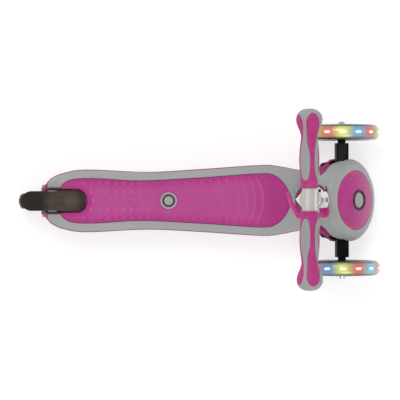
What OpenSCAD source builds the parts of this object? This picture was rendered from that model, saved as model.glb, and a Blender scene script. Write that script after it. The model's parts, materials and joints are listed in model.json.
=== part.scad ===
// Three-wheeled child's kick scooter: lean-to-steer front truck, folding column,
// height clamp, rear wheel with a foot brake. +X is forward, +Y left, +Z up, in mm.

/* [Wheels] */
// Distance between the front and rear axles
wheelbase = 469; // [380:1:560]
// Diameter of the front wheels
front_wheel_d = 121; // [106:1:130]
// Width of a front tyre
front_tyre_w = 24; // [23:1:27]
// Distance between the middles of the front wheels
front_track = 214; // [206:1:250]
// Diameter of the rear wheel
rear_wheel_d = 80; // [74:1:90]
// Width of the rear tyre
rear_tyre_w = 24; // [23:1:28]
// Radius of the axle bolts
axle_r = 4; // [3:0.5:4.5]

/* [Deck] */
// Height of the deck's top rim above the ground
deck_top = 72; // [68:1:80]
// Height of the deck's side, from its lower edge to the rim
deck_side = 32; // [26:1:36]
// Thickness of the grey rim
rim_t = 6; // [4:0.5:8]
// Half width of the deck beside the rear wheel's hinge
deck_hip = 49.8; // [44:0.1:56]
// Half width of the deck at its waist
deck_waist = 46; // [40:0.1:50]
// Half width of the deck at its widest, in front
deck_chest = 56.5; // [50:0.1:62]
// Half width of the deck where it meets the nose
deck_neck = 43; // [38:0.1:50]
// Width of the rim beside the foot pad
rim_w = 14; // [10:0.5:17]
// How far the foot pad stands above the rim
pad_proud = 1.5; // [0.5:0.1:3]
// Wall of the deck's moulding
deck_wall = 5; // [4:0.5:6]
// Radius of the round badge on the pad
badge_r = 13.3; // [9:0.1:16]

/* [Nose] */
// Radius of the round nose housing
nose_r = 65.6; // [62:0.2:72]
// Wall of the nose housing
nose_wall = 3; // [2.5:0.1:4]
// Radius of the coloured disc on the nose
disc_r = 47; // [40:0.5:52]
// Radius of the steering lock's button
lock_r = 12.5; // [9:0.5:14]
// Travel of the steering lock's button
lock_travel = 3; // [2:0.5:3.5]
// Angle of the steering axis above level
steer_tilt = 44; // [38:1:50]
// Largest lean of the front truck, each way
steer_range = 12; // [6:1:13]

/* [Column] */
// Angle by which the column leans back
column_lean = 10.6; // [6:0.1:14]
// Height of the handlebar's middle above the ground
bar_height = 665; // [600:1:720]
// Overall width of the handlebar
bar_w = 248.6; // [220:0.1:270]
// Height of the fold pivot above the ground
fold_height = 125; // [122:1:132]
// Outer radius of the lower tube
tube_r = 17; // [15.5:0.5:18.5]
// Outer radius of the sliding stem
stem_r = 13.5; // [12:0.1:14]
// Distance from the fold pivot to the top of the lower tube
tube_len = 300; // [230:1:330]
// Outer radius of the height clamp's collar
clamp_r = 24.5; // [23:0.5:28]
// Radius of the handlebar's middle tube
cross_r = 12.9; // [11:0.1:13.4]
// Radius of the end bulbs of the grips
bulb_r = 18; // [15:0.5:20]

/* [Brake] */
// Gap between the rear tyre and the fender over it
brake_gap = 4.8; // [4.4:0.1:7]
// Thickness of the fender
fender_t = 3.2; // [2.5:0.1:4]

/* [Hidden] */
$fn = 72;

magenta = [0.69, 0.17, 0.48];
grey = [0.64, 0.65, 0.65];
black = [0.10, 0.10, 0.10];
steel = [0.75, 0.75, 0.76];
pale = [0.86, 0.85, 0.82];
clear = [0.85, 0.86, 0.80];

run = 0.05;               // radial clearance of a running fit
gap = 0.3;                // clearance between parts that move past each other
eps = 0.01;

front_r = front_wheel_d / 2;
rear_r = rear_wheel_d / 2;
front_x = (wheelbase + rear_r - front_r) / 2;
rear_x = front_x - wheelbase;
track_y = front_track / 2;

// ---- outlines -------------------------------------------------------------

// One point of a smooth curve that passes through the points p, between p[i] and p[i + 1].
function through(p, i, t) =
    let (n = len(p) - 1,
         a = p[max(i - 1, 0)], b = p[i], c = p[i + 1], d = p[min(i + 2, n)],
         m0 = (c - a) / 2, m1 = (d - b) / 2)
    (2*t*t*t - 3*t*t + 1)*b + (t*t*t - 2*t*t + t)*m0 + (3*t*t - 2*t*t*t)*c + (t*t*t - t*t)*m1;

function smooth(p, steps) =
    concat([for (i = [0 : len(p) - 2]) for (k = [0 : steps - 1]) through(p, i, k / steps)],
           [p[len(p) - 1]]);

function flipped(p) = [for (i = [len(p) - 1 : -1 : 0]) [p[i][0], -p[i][1]]];

// Closed outline of a shape that is the same on both sides of the X axis.
function both_sides(p) = concat(p, flipped(p));

function grown(p, by) = [for (q = p) [q[0], q[1] + by]];

tail_x = rear_x - 2;
hip_x = rear_x + 64;
waist_x = rear_x + 158;
chest_x = front_x - 131;
neck_x = front_x - 34;
tail_w = 22.5;
rim_back = 5;              // how far the rim starts ahead of the deck's tail

deck_line = [
    [tail_x, tail_w], [tail_x + 6.5, tail_w + 8.5], [tail_x + 15.5, deck_hip - 11.4],
    [tail_x + 31, deck_hip - 5.2], [hip_x, deck_hip], [waist_x, deck_waist],
    [waist_x + 85, (deck_waist + deck_chest) / 2 - 1.2], [chest_x, deck_chest],
    [chest_x + 32, deck_chest - 2.2], [chest_x + 60, deck_chest - 7.6], [neck_x, deck_neck]
];

pad_tail_x = rear_x + 23;
pad_nose_x = chest_x + 49;
pad_chest = deck_chest - rim_w;
slot_w = rear_tyre_w / 2 + 4;
pad_line = [
    [pad_tail_x, slot_w + 5], [pad_tail_x + 4, slot_w + 11], [pad_tail_x + 15, deck_hip - rim_w - 3],
    [hip_x - 10, deck_hip - rim_w - 0.8], [hip_x + 18, deck_hip - rim_w - 0.8],
    [waist_x - 9, deck_waist - rim_w - 0.5], [waist_x + 85, (deck_waist + deck_chest) / 2 - rim_w - 1.2],
    [chest_x, pad_chest], [pad_nose_x - 25, pad_chest - 4.4], [pad_nose_x - 11, pad_chest - 17],
    [pad_nose_x - 3.5, pad_chest - 30], [pad_nose_x, 5]
];

module deck_outline(by = 0) { polygon(both_sides(grown(smooth(deck_line, 5), by))); }
module pad_outline(by = 0) { polygon(both_sides(grown(smooth(pad_line, 5), by))); }

module rounded_rect(w, h, r) {
    square([w - 2 * r, h], center = true);
    square([w, h - 2 * r], center = true);
    for (x = [-1, 1]) for (y = [-1, 1])
        translate([x * (w / 2 - r), y * (h / 2 - r)]) circle(r);
}

// ---- frames and helpers ---------------------------------------------------

module across(x, y0, y1, z) {
    // what is drawn along +Z from 0 to the height given runs along Y here
    translate([x, y0, z]) rotate([-90, 0, 0]) children();
}
module rod_y(x, z, r, y0, y1) { translate([x, y1, z]) rotate([90, 0, 0]) cylinder(r = r, h = y1 - y0); }
module ring_y(x, z, r0, r1, y0, y1) {
    difference() {
        rod_y(x, z, r1, y0, y1);
        rod_y(x, z, r0, y0 - 1, y1 + 1);
    }
}
module mirrored_y(side) { if (side > 0) children(); else mirror([0, 1, 0]) children(); }
module both_y() { children(); mirror([0, 1, 0]) children(); }

// The steering frame: +Z runs along the steering axis, forward and up; +X points down its front.
module steer() { translate([front_x, 0, front_r]) rotate([0, 90 - steer_tilt, 0]) children(); }

// The column frame: +Z runs up the column from the fold pivot.
fold_x = front_x - 55.3;
module column() { translate([fold_x, 0, fold_height]) rotate([0, -column_lean, 0]) children(); }
bar_up = (bar_height - fold_height) / cos(column_lean);

// Coil spring: mean radius r, wire radius w, height h; its turns are rings held by a seam.
module coil(r, w, h, turns) {
    pitch = (h - 2 * w) / (turns - 1);
    for (k = [0 : turns - 1]) translate([0, 0, w + k * pitch]) rotate_extrude() translate([r, 0]) circle(w);
    translate([r, 0, w]) cylinder(r = w * 0.8, h = h - 2 * w);
}

// ---- deck -----------------------------------------------------------------

deck_low = deck_top - deck_side;
body_top = deck_top - rim_t;
slot_front = rear_x + rear_r + 5.8;
fork_r = 7;
fork_y = slot_w + 11;
rib_pitch = 46;
rib_t = 4;
pocket_x0 = slot_front + 24;
seat_x = fold_x - 27;
pocket_x1 = seat_x - 8;
pocket_count = floor((pocket_x1 - pocket_x0) / rib_pitch);

module deck_pockets() {
    intersection() {
        translate([0, 0, deck_low - 1]) linear_extrude(body_top - deck_wall - deck_low + 1)
            deck_outline(-deck_wall);
        for (i = [0 : pocket_count - 1])
            both_y()
                translate([pocket_x0 + i * rib_pitch, rib_t / 2, deck_low - 1])
                    cube([rib_pitch - rib_t, 100, deck_side]);
    }
}

screw_spots = [for (i = [0 : pocket_count]) [pocket_x0 + i * rib_pitch - rib_t / 2, 16]];
screw_r = 2;
screw_head_r = 3.6;
boss_r = 5.6;
module deck_screw_bosses() {
    for (p = screw_spots) both_y()
        translate([p[0], p[1], deck_low]) cylinder(r = boss_r, h = body_top - deck_low - deck_wall + eps);
}

brake_x = rear_x + 51.5;
brake_z = deck_top - 1.4;
brake_pin_r = 2.5;
lug_r = 4.2;

module deck_body() {
    color(magenta)
    difference() {
        union() {
            difference() {
                translate([0, 0, deck_low]) linear_extrude(body_top - deck_low) deck_outline();
                deck_pockets();
            }
            deck_screw_bosses();
            both_y() {
                rod_y(rear_x, rear_r, fork_r, slot_w, fork_y - 2.5);
                translate([tail_x, slot_w, rear_r])
                    cube([rear_x + fork_r - tail_x, fork_y - 2.5 - slot_w, deck_low - rear_r + 8]);
            }
            rod_y(brake_x, brake_z, lug_r, -7.5, 7.5);
            translate([brake_x - lug_r, -7.5, body_top - 2]) cube([2 * lug_r, 15, brake_z - body_top + 2]);
        }
        // slot for the rear wheel
        translate([tail_x - 20, -slot_w, 0]) cube([slot_front - tail_x + 20, 2 * slot_w, 200]);
        rod_y(rear_x, rear_r, axle_r, -60, 60);
        both_y() rod_y(rear_x, rear_r, fork_r, fork_y - 6, 60);
        rod_y(brake_x, brake_z, brake_pin_r, -60, 60);
        // seat of the brake spring, and the screws from below
        for (p = screw_spots) both_y() translate([p[0], p[1], 0]) {
            cylinder(r = screw_r, h = body_top);
            cylinder(r = screw_head_r + gap, h = deck_low + 3);
        }
        // the nose chassis starts here
        translate([seat_x, -100, 0]) cube([200, 200, 200]);
    }
}

module fender_room(by) {
    // plan of the brake fender, with a round front end
    w = front_half_w + by;
    translate([tail_x - 20, -w]) square([fender_front_x - front_corner - tail_x + 20, 2 * w]);
    translate([fender_front_x - front_corner, 0]) {
        translate([-1, -w + front_corner]) square([1 + front_corner + by, 2 * (w - front_corner)]);
        both_y_2d() translate([0, w - front_corner - by]) circle(front_corner + by);
    }
}
module both_y_2d() { children(); mirror([0, 1]) children(); }

module deck_rim() {
    color(grey)
    translate([0, 0, body_top]) linear_extrude(rim_t) difference() {
        deck_outline(-1.2);
        pad_outline();
        translate([tail_x - 20, -slot_w - 5]) square([hip_x - tail_x, 2 * slot_w + 10]);
        translate([tail_x - 20, -100]) square([20 + rim_back, 200]);
        translate([seam_x, -100]) square([200, 200]);
        for (p = bracket_spots) translate(p) circle(screw_r);
    }
}

module deck_pad() {
    color(magenta)
    translate([0, 0, body_top]) linear_extrude(rim_t + pad_proud) difference() {
        pad_outline(-gap / 2);
        fender_room(1.2);
        circle_at(badge_x, badge_r + gap / 3);
    }
}
module circle_at(x, r) { translate([x, 0]) circle(r); }

badge_x = rear_x + 192;
module deck_badge() {
    color(grey) translate([badge_x, 0, body_top]) {
        cylinder(r = badge_r, h = rim_t + pad_proud - 1.5);
        difference() {
            cylinder(r = badge_r, h = rim_t + pad_proud + 0.5);
            translate([0, 0, -1]) cylinder(r = badge_r - 3.1, h = 20);
        }
        cylinder(r = badge_r - 6.4, h = rim_t + pad_proud);
    }
}

module deck_screws() {
    color(steel) for (p = screw_spots) both_y() translate([p[0], p[1], deck_low]) {
        cylinder(r = screw_r, h = body_top - deck_low - 1.5);
        translate([0, 0, 0.4]) cylinder(r = screw_head_r, h = 2.6);
    }
}

// ---- rear wheel -----------------------------------------------------------

bearing_r = 11;
bearing_w = 7;
rear_hub_r = rear_r - 12;
rear_hub_w = rear_tyre_w - 2;

// Half of a tyre's section, as [radius, sideways], from the bead round the crown.
function crown(r, w, depth, steps) =
    [for (k = [0 : steps]) let (a = 180 * k / steps) [r - depth + depth * sin(a), -w / 2 * cos(a)]];

module tyre_shape(r, w, bore, depth) {
    rotate([90, 0, 0]) rotate_extrude() polygon(concat(
        [[bore, -w / 2 + 1.5]], [[bore + 1.5, -w / 2]], crown(r, w, depth, 14),
        [[bore + 1.5, w / 2]], [[bore, w / 2 - 1.5]]));
}

module spoked_hub(r, w, rim, boss, spokes, seat) {
    rotate([90, 0, 0]) difference() {
        union() {
            translate([0, 0, -w / 2]) difference() {
                cylinder(r = r, h = w);
                translate([0, 0, -1]) cylinder(r = r - rim, h = w + 2);
            }
            translate([0, 0, -w / 2]) cylinder(r = boss, h = w);
            for (k = [0 : spokes - 1]) rotate([0, 0, k * 360 / spokes])
                translate([boss - 2, -4, -w / 2 + 3]) cube([r - rim - boss + 4, 8, w - 6]);
        }
        for (s = [-1, 1]) translate([0, 0, s * seat]) cylinder(r = bearing_r, h = bearing_w, center = true);
        for (s = [-1, 1]) translate([0, 0, s * (seat + 10)]) cylinder(r = bearing_r, h = 20, center = true);
        cylinder(r = bearing_r - 1.6, h = w + 2, center = true);
    }
}

module bearing_pair(seat) {
    rotate([90, 0, 0]) for (s = [-1, 1]) translate([0, 0, s * seat]) difference() {
        cylinder(r = bearing_r, h = bearing_w, center = true);
        cylinder(r = axle_r + run, h = bearing_w + 2, center = true);
        for (e = [-1, 1]) translate([0, 0, e * bearing_w / 2]) difference() {
            cylinder(r = bearing_r - 1.6, h = 0.8, center = true);
            cylinder(r = axle_r + 2, h = 2, center = true);
        }
    }
}

rear_seat = rear_hub_w / 2 - bearing_w / 2 - 0.5;
module at_rear() { translate([rear_x, 0, rear_r]) children(); }
module rear_tyre() { color(black) at_rear() tyre_shape(rear_r, rear_tyre_w, rear_hub_r, 7.5); }
module rear_hub() { color(grey) at_rear() spoked_hub(rear_hub_r, rear_hub_w, 3.5, 14.5, 5, rear_seat); }
module rear_bearings() { color(steel) at_rear() bearing_pair(rear_seat); }

axle_head_r = 6.2;
module rear_axle() {
    color(steel) {
        rod_y(rear_x, rear_r, axle_r, -(fork_y - 1.8), fork_y - 6);
        difference() {
            rod_y(rear_x, rear_r, axle_head_r, fork_y - 6, fork_y - 1.6);
            rod_y(rear_x, rear_r, 2.6, fork_y - 4, fork_y);
        }
    }
}
module rear_axle_nut() {
    color(steel) difference() {
        translate([rear_x, -(fork_y - 6), rear_r]) rotate([90, 0, 0])
            cylinder(r = axle_head_r, h = 3.6, $fn = 6);
        rod_y(rear_x, rear_r, axle_r, -60, 0);
    }
}
module rear_spacers() {
    color(steel) both_y()
        ring_y(rear_x, rear_r, axle_r, axle_r + 2.2, rear_seat + bearing_w / 2 + gap, slot_w);
    color(steel) ring_y(rear_x, rear_r, axle_r, axle_r + 2.2,
                        -(rear_seat - bearing_w / 2 - gap), rear_seat - bearing_w / 2 - gap);
}

// ---- brake ----------------------------------------------------------------

fender_in_r = rear_r + brake_gap;
fender_out_r = fender_in_r + fender_t;
fender_half_w = rear_tyre_w / 2 + 3.4;
front_half_w = fender_half_w + 1.4;
fender_front_x = rear_x + 62.5;
front_corner = 14;
tail_angle = 145;
join_angle = 66;

module fender_arc() {
    // a U-shaped section turned about the rear axle, from the front join to the tail
    at_rear() rotate([90, 0, 0]) rotate([0, 0, join_angle])
        rotate_extrude(angle = tail_angle - join_angle) difference() {
            translate([rear_hub_r + 4, -fender_half_w])
                square([fender_out_r - rear_hub_r - 4, 2 * fender_half_w]);
            translate([0, -fender_half_w + 1.7]) square([fender_in_r, 2 * (fender_half_w - 1.7)]);
            // rounded shoulders
            for (s = [-1, 1]) translate([fender_out_r - 3, s * (fender_half_w - 3)]) difference() {
                translate([0, s > 0 ? 0 : -4]) square([4, 4]);
                circle(3);
            }
        }
}

join_x = rear_x + fender_out_r * cos(join_angle);
join_z = rear_r + fender_out_r * sin(join_angle);
front_top_z = deck_top + 7.5;
module fender_side(drop) {
    // side view of the front part, from the join down to the hinge
    polygon([[join_x - 7, join_z + 2.2 - drop], [join_x, join_z - drop], [join_x + 16, join_z - 4.6 - drop],
             [join_x + 32, front_top_z + 0.6 - drop], [fender_front_x, front_top_z - 2.4 - drop],
             [fender_front_x, deck_top - 4], [join_x - 7, deck_top - 4]]);
}
module fender_front() {
    intersection() {
        difference() {
            across(0, -front_half_w, 0, 0) mirror([0, 1, 0]) linear_extrude(2 * front_half_w) fender_side(0);
            across(0, -front_half_w + 2, 0, 0) mirror([0, 1, 0]) linear_extrude(2 * front_half_w - 4)
                fender_side(fender_t);
        }
        translate([0, 0, deck_top - 1.8]) linear_extrude(60) fender_room(0);
        // the fender narrows towards the tyre
        translate([join_x - 7.5, -front_half_w, 0]) cube([200, 2 * front_half_w, 200]);
    }
}

module brake_fender() {
    color(black) difference() {
        union() {
            fender_arc();
            fender_front();
            both_y() {
                rod_y(brake_x, brake_z, lug_r, 8, 12);
                translate([brake_x - lug_r, 8, brake_z]) cube([2 * lug_r, 4, front_top_z - brake_z - 1]);
            }
        }
        rod_y(brake_x, brake_z, brake_pin_r + run, -60, 60);
        at_rear() rod_y(0, 0, fender_in_r, -fender_half_w + 1.7, fender_half_w - 1.7);
    }
}
module brake_plate() {
    color(steel) at_rear() rotate([90, 0, 0]) rotate([0, 0, 96])
        rotate_extrude(angle = 34) translate([fender_in_r - 1.03, -8]) square([1, 16]);
}
module brake_pin() {
    color(steel) rod_y(brake_x, brake_z, brake_pin_r, -front_half_w + 1.2, front_half_w - 1.2);
}
module brake_spring() {
    color(steel) translate([brake_x + 5, 0, body_top]) translate([3.6, 0, 0]) coil(2.6, 0.5, 5.2, 4);
}

// ---- nose -----------------------------------------------------------------

rim_plane = 26.5;         // height of the housing's rim
plate_t0 = 14.3;          // the plate that holds the kingpin's upper end
plate_t1 = 18.5;
lug_t0 = -31;             // the rib that holds its lower end
lug_t1 = -22.3;
block_t0 = -22;
block_t1 = 14;
kingpin_r = 5;
arm_w = 19.6;
arm_h = 22;
pod_low = 29;
part_rear_z = deck_top + 24;
part_slope = 36;
seam_x = fold_x + 4;
shelf_x = fold_x + 23;
bracket_half_w = 20.5;

skirt_line = [
    [seat_x, deck_neck + 8.2], [seam_x, deck_neck + 2.4], [fold_x + 18, deck_neck + 5.5],
    [fold_x + 28, deck_neck + 13], [fold_x + 39, nose_r - 3.6], [fold_x + 52, nose_r], [fold_x + 140, nose_r]
];
module skirt_plan(by) { polygon(both_sides(grown(smooth(skirt_line, 5), by))); }

function housing_edge(inset) = [
    [disc_r + 1.2, rim_plane - inset], [disc_r + 7, rim_plane - 0.9 - inset],
    [nose_r - 6 - inset / 2, rim_plane - 3.6 - inset], [nose_r - 1.8 - inset, rim_plane - 8 - inset / 2],
    [nose_r - inset, rim_plane - 14]
];
module housing_solid(inset) {
    steer() rotate_extrude() polygon(concat([[0, -80], [0, rim_plane - inset]],
                                            smooth(housing_edge(inset), 3), [[nose_r - inset, -80]]));
}

// Saddle that joins the deck's neck to the round housing.
module neck_solid(inset) {
    w = deck_neck - inset;
    hull() {
        for (s = [-1, 1]) {
            translate([seam_x + 7, s * (w - 3.5), deck_top - 3.5 - inset]) sphere(7, $fn = 24);
            translate([seam_x + 7, s * (w + 2), pod_low]) cylinder(r = 1.5, h = 2, $fn = 12);
            translate([fold_x + 30, s * (w - 12), front_r + 33.5 - inset]) sphere(12, $fn = 24);
            translate([fold_x + 30, s * (w + 8), pod_low]) cylinder(r = 2, h = 2, $fn = 12);
        }
    }
}
// Everything above the parting line between the cover and the chassis.
module above_parting(by = 0) {
    translate([shelf_x, 0, part_rear_z + by]) rotate([0, part_slope, 0])
        translate([0, -150, 0]) cube([500, 300, 300]);
    translate([shelf_x - 8, -150, part_rear_z + by]) cube([60, 300, 300]);
    translate([seam_x, -150, body_top + by]) cube([shelf_x - seam_x - 8, 300, 300]);
}

// The room that the leaning truck's arms need in the nose's sides.
module arm_sweep(grow) {
    steer() hull() for (k = [-1, 1]) rotate([0, 0, k * (steer_range + 0.6)])
        rotate([0, steer_tilt - 90, 0])
            cube([arm_w + 2 * grow, 2 * (nose_r + 20), arm_h + 2 * grow], center = true);
}
well_gap = 0.6;
// The bracket's well: the column's foot stands here, open to the rear and the top.
module bracket_well(by = 0) {
    translate([fold_x - 60, -bracket_half_w - well_gap - by, pod_low])
        cube([60 + 22 + by, 2 * (bracket_half_w + well_gap + by), 200]);
}

module pod_cover() {
    color(grey) difference() {
        intersection() {
            union() {
                housing_solid(0);
                neck_solid(0);
            }
            above_parting();
            linear_extrude(200) skirt_plan(0);
        }
        housing_solid(nose_wall);
        difference() {
            neck_solid(nose_wall);
            bracket_well(2);
        }
        bracket_well();
        rod_y(fold_x, button_z, button_cap_r + 1.2, -60, 0);
        steer() translate([0, 0, rim_plane - 8]) cylinder(r = disc_r + 0.1, h = 60);
        arm_sweep(1.5);
    }
}

module nose_disc() {
    // shallow dome on a short skirt, with a hole for the lock's collar
    color(magenta) steer() rotate_extrude() polygon(concat(
        [[lock_r + 4.6, rim_plane - 3], [lock_r + 4.6, rim_plane + 3]],
        [for (k = [0 : 10]) let (r = lock_r + 4.6 + k / 10 * (disc_r - lock_r - 4.6))
            [r, rim_plane + 7.5 * (1 - pow(r / disc_r, 2))]],
        [[disc_r, rim_plane - 7.5], [disc_r - 3, rim_plane - 7.5], [disc_r - 3, rim_plane - 3]]));
}
module lock_collar() {
    color(black) steer() rotate_extrude() polygon([
        [lock_r + 0.4, rim_plane - 3], [lock_r + 4.6, rim_plane - 3], [lock_r + 4.6, rim_plane + 7],
        [lock_r + 3.6, rim_plane + 8.2], [lock_r + 0.4, rim_plane + 7.6]]);
}
lock_seat = rim_plane + 1;
lock_top = rim_plane + 7.6;
module lock_button() {
    color(grey) steer() {
        rotate_extrude() polygon([
            [0, lock_seat - 1], [lock_r, lock_seat - 1], [lock_r, lock_top - 2.2],
            [lock_r - 1.5, lock_top - 0.8], [0, lock_top]]);
        translate([0, 0, block_t1 + gap + lock_travel]) cylinder(r = kingpin_r - 1.5, h = 12);
    }
}
module lock_spring() {
    h = lock_seat - 1 - plate_t1 - lock_travel - gap;
    color(steel) steer() translate([0, 0, lock_seat - 1 - h]) coil(7, 0.6, h, 4);
}

module pod_chassis() {
    color(magenta) difference() {
        union() {
            difference() {
                intersection() {
                    translate([0, 0, pod_low]) linear_extrude(200) skirt_plan(0);
                    housing_solid(0.2);
                    translate([seat_x, -100, 0]) cube([200, 200, 200]);
                }
                difference() {
                    intersection() {
                        translate([0, 0, pod_low + nose_wall]) linear_extrude(200) skirt_plan(-nose_wall);
                        housing_solid(nose_wall + 0.2);
                        translate([seat_x + nose_wall, -100, 0]) cube([200, 200, 200]);
                    }
                    // block under the fold bracket
                    translate([seat_x, -bracket_half_w, 0])
                        cube([shelf_x - 6 - seat_x, 2 * bracket_half_w, body_top]);
                    // floor of the neck
                    translate([seat_x, -100, body_top - 4]) cube([seam_x + 4 - seat_x, 200, 4]);
                }
                above_parting(-gap / 3);
                translate([0, -100, body_top]) cube([seam_x + eps, 200, 200]);
                arm_sweep(1.5);
            }
            // shelf in the well, level with the rim
            translate([seam_x + gap, -bracket_half_w, body_top - 4])
                cube([shelf_x - 6 - seam_x - gap, 2 * bracket_half_w, rim_t + 4]);
            // ribs that hold the kingpin
            intersection() {
                housing_solid(nose_wall);
                translate([shelf_x - 8, -100, pod_low]) cube([120, 200, 200]);
                union() {
                    steer() translate([-26, -34, lug_t0]) cube([80, 68, lug_t1 - lug_t0]);
                    steer() translate([-17, -56, plate_t0]) cube([90, 112, plate_t1 - plate_t0]);
                }
            }
        }
        steer() translate([0, 0, -60]) cylinder(r = kingpin_r, h = 120);
        steer() translate([0, 0, -80]) cylinder(r = kingpin_r + 4.5, h = 80 + lug_t0);
        both_y() translate([stop_x, stop_y, stop_z]) cylinder(r = stop_r, h = stop_h);
        for (p = bracket_spots) translate([p[0], p[1], pod_low - 1]) cylinder(r = screw_r, h = 100);
    }
}

stop_x = fold_x + 30;
stop_y = nose_r - 12.5;
stop_z = pod_low + 11;
stop_r = 6.5;
stop_h = 15;
module bump_stops() {
    color(black) both_y() translate([stop_x, stop_y, stop_z]) cylinder(r = stop_r, h = stop_h);
}

module kingpin() {
    color(steel) steer() {
        translate([0, 0, lug_t0]) cylinder(r = kingpin_r, h = plate_t1 - lug_t0 - 4.2 - gap);
        translate([0, 0, lug_t0 - 5]) difference() {
            cylinder(r = kingpin_r + 3.5, h = 5);
            translate([0, 0, -1]) cylinder(r = 3, h = 4, $fn = 6);
        }
    }
}
module steering_spring() {
    color(steel) steer() translate([0, 0, lug_t1]) coil(8.2, 1.1, 9.5, 3);
}

// ---- front truck ----------------------------------------------------------

arm_end = track_y - front_tyre_w / 2 - 5;
front_hub_w = front_tyre_w - 2;
front_seat = front_hub_w / 2 - bearing_w / 2 - 1;
neck_end = track_y - front_seat - bearing_w / 2 - gap;
bolt_in = arm_end - 14;
bush_t = 6;

module truck_beam() {
    color(black) difference() {
        union() {
            steer() translate([0, 0, block_t0]) cylinder(r = 16, h = block_t1 - block_t0);
            translate([front_x, arm_end, front_r]) rotate([90, 0, 0])
                linear_extrude(2 * arm_end) rounded_rect(arm_w, arm_h, 3);
            both_y() rod_y(front_x, front_r, 6.3, arm_end - 1, neck_end);
        }
        steer() translate([0, 0, -100]) cylinder(r = kingpin_r + 1.2, h = 200);
        steer() translate([0, 0, block_t0 - 1]) cylinder(r = 12, h = 12);
        both_y() rod_y(front_x, front_r, axle_r, bolt_in, 200);
    }
}
module truck_bushes() {
    color(pale) steer() for (t = [block_t0 + 11 + gap, block_t1 - bush_t]) translate([0, 0, t]) difference() {
        cylinder(r = kingpin_r + 1.2, h = bush_t);
        translate([0, 0, -1]) cylinder(r = kingpin_r + run, h = bush_t + 2);
    }
}
bolt_head_in = track_y + front_seat + bearing_w / 2 + gap;
module axle_bolt(side) {
    color(steel) mirrored_y(side) {
        rod_y(front_x, front_r, axle_r, bolt_in, bolt_head_in + 1);
        across(front_x, bolt_head_in, 0, front_r) rotate_extrude() polygon([
            [0, 0], [7, 0], [7, 2.2], [6.2, 3.8], [4.6, bar_w / 2 - bolt_head_in - 0.4],
            [0, bar_w / 2 - bolt_head_in - 0.2]]);
    }
}
module axle_bolt_left() { axle_bolt(1); }
module axle_bolt_right() { axle_bolt(-1); }
core_half_w = front_seat - bearing_w / 2 - gap;
module magnet_cores() {
    color(steel) both_y() ring_y(front_x, front_r, axle_r, 7.6, track_y - core_half_w, track_y + core_half_w);
}

// ---- front wheels ---------------------------------------------------------

front_hub_r = front_r - 14.5;
ring_half_w = 5;
module at_front(side) { translate([front_x, side * track_y, front_r]) children(); }
module light_ring_room(side) {
    at_front(side) ring_y(0, 0, front_hub_r - 1, front_hub_r + 4, -ring_half_w, ring_half_w);
}
module tyre(side) {
    color(clear) difference() {
        at_front(side) tyre_shape(front_r, front_tyre_w, front_hub_r, 9.5);
        light_ring_room(side);
    }
}
module light_ring(side) {
    color(pale) difference() {
        at_front(side) ring_y(0, 0, front_hub_r, front_hub_r + 4, -ring_half_w, ring_half_w);
    }
}
module hub(side) { color(grey) at_front(side) spoked_hub(front_hub_r, front_hub_w, 6, 15.5, 5, front_seat); }
module bearings(side) { color(steel) at_front(side) bearing_pair(front_seat); }
module tyre_left() { tyre(1); }
module light_ring_left() { light_ring(1); }
module hub_left() { hub(1); }
module bearings_left() { bearings(1); }
module tyre_right() { tyre(-1); }
module light_ring_right() { light_ring(-1); }
module hub_right() { hub(-1); }
module bearings_right() { bearings(-1); }

// ---- fold joint -----------------------------------------------------------

ear_in = 14.5;
ear_r = 20;
plate_t = 5;
fold_pin_r = 5;
bracket_x0 = fold_x - 21;
bracket_x1 = shelf_x - 1.6;
bracket_spots = [for (x = [bracket_x0 + 5, bracket_x1 - 9.9]) for (y = [-9, 9]) [x, y]];

module fold_bracket() {
    color(grey) difference() {
        union() {
            translate([bracket_x0, -bracket_half_w, deck_top])
                cube([bracket_x1 - bracket_x0, 2 * bracket_half_w, plate_t]);
            both_y() {
                rod_y(fold_x, fold_height, ear_r - 2, ear_in, bracket_half_w);
                translate([fold_x - ear_r + 2, ear_in, deck_top])
                    cube([2 * ear_r - 4, bracket_half_w - ear_in, fold_height - deck_top]);
            }
            // latch block under the knuckle
            translate([fold_x - 6, -5, deck_top]) cube([12, 10, fold_height - knuckle_r - 1 - deck_top]);
        }
        rod_y(fold_x, fold_height, fold_pin_r, -60, 60);
        rod_y(fold_x, button_z, button_pin_r + run, -60, 0);
        for (p = bracket_spots) translate([p[0], p[1], 0]) cylinder(r = screw_r, h = 200);
    }
}
module bracket_screws() {
    color(steel) for (p = bracket_spots) translate([p[0], p[1], 0]) {
        translate([0, 0, pod_low + 8]) cylinder(r = screw_r, h = deck_top + plate_t - pod_low - 8);
        translate([0, 0, deck_top + plate_t]) cylinder(r = screw_head_r, h = 2.4);
    }
}
module fold_pin() {
    color(steel) {
        rod_y(fold_x, fold_height, fold_pin_r, -bracket_half_w - 3.8, bracket_half_w);
        rod_y(fold_x, fold_height, fold_pin_r + 3, bracket_half_w, bracket_half_w + 3.5);
    }
}
module fold_pin_nut() {
    color(steel) difference() {
        translate([fold_x, -bracket_half_w, fold_height]) rotate([90, 0, 0])
            cylinder(r = fold_pin_r + 3.4, h = 4, $fn = 6);
        rod_y(fold_x, fold_height, fold_pin_r, -60, 0);
    }
}
button_z = fold_height - 27;
button_pin_r = 3.5;
button_cap_r = 8;
button_travel = 4;
module fold_button() {
    color(magenta) {
        rod_y(fold_x, button_z, button_pin_r, -bracket_half_w - button_travel - gap - 1, -ear_in - gap);
        rod_y(fold_x, button_z, button_cap_r, -bracket_half_w - button_travel - gap - 2.2,
              -bracket_half_w - button_travel - gap);
    }
}
module button_spring() {
    color(steel) translate([fold_x, -bracket_half_w, button_z]) rotate([90, 0, 0])
        coil(5.2, 0.5, button_travel + gap, 3);
}

// ---- column ---------------------------------------------------------------

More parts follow.
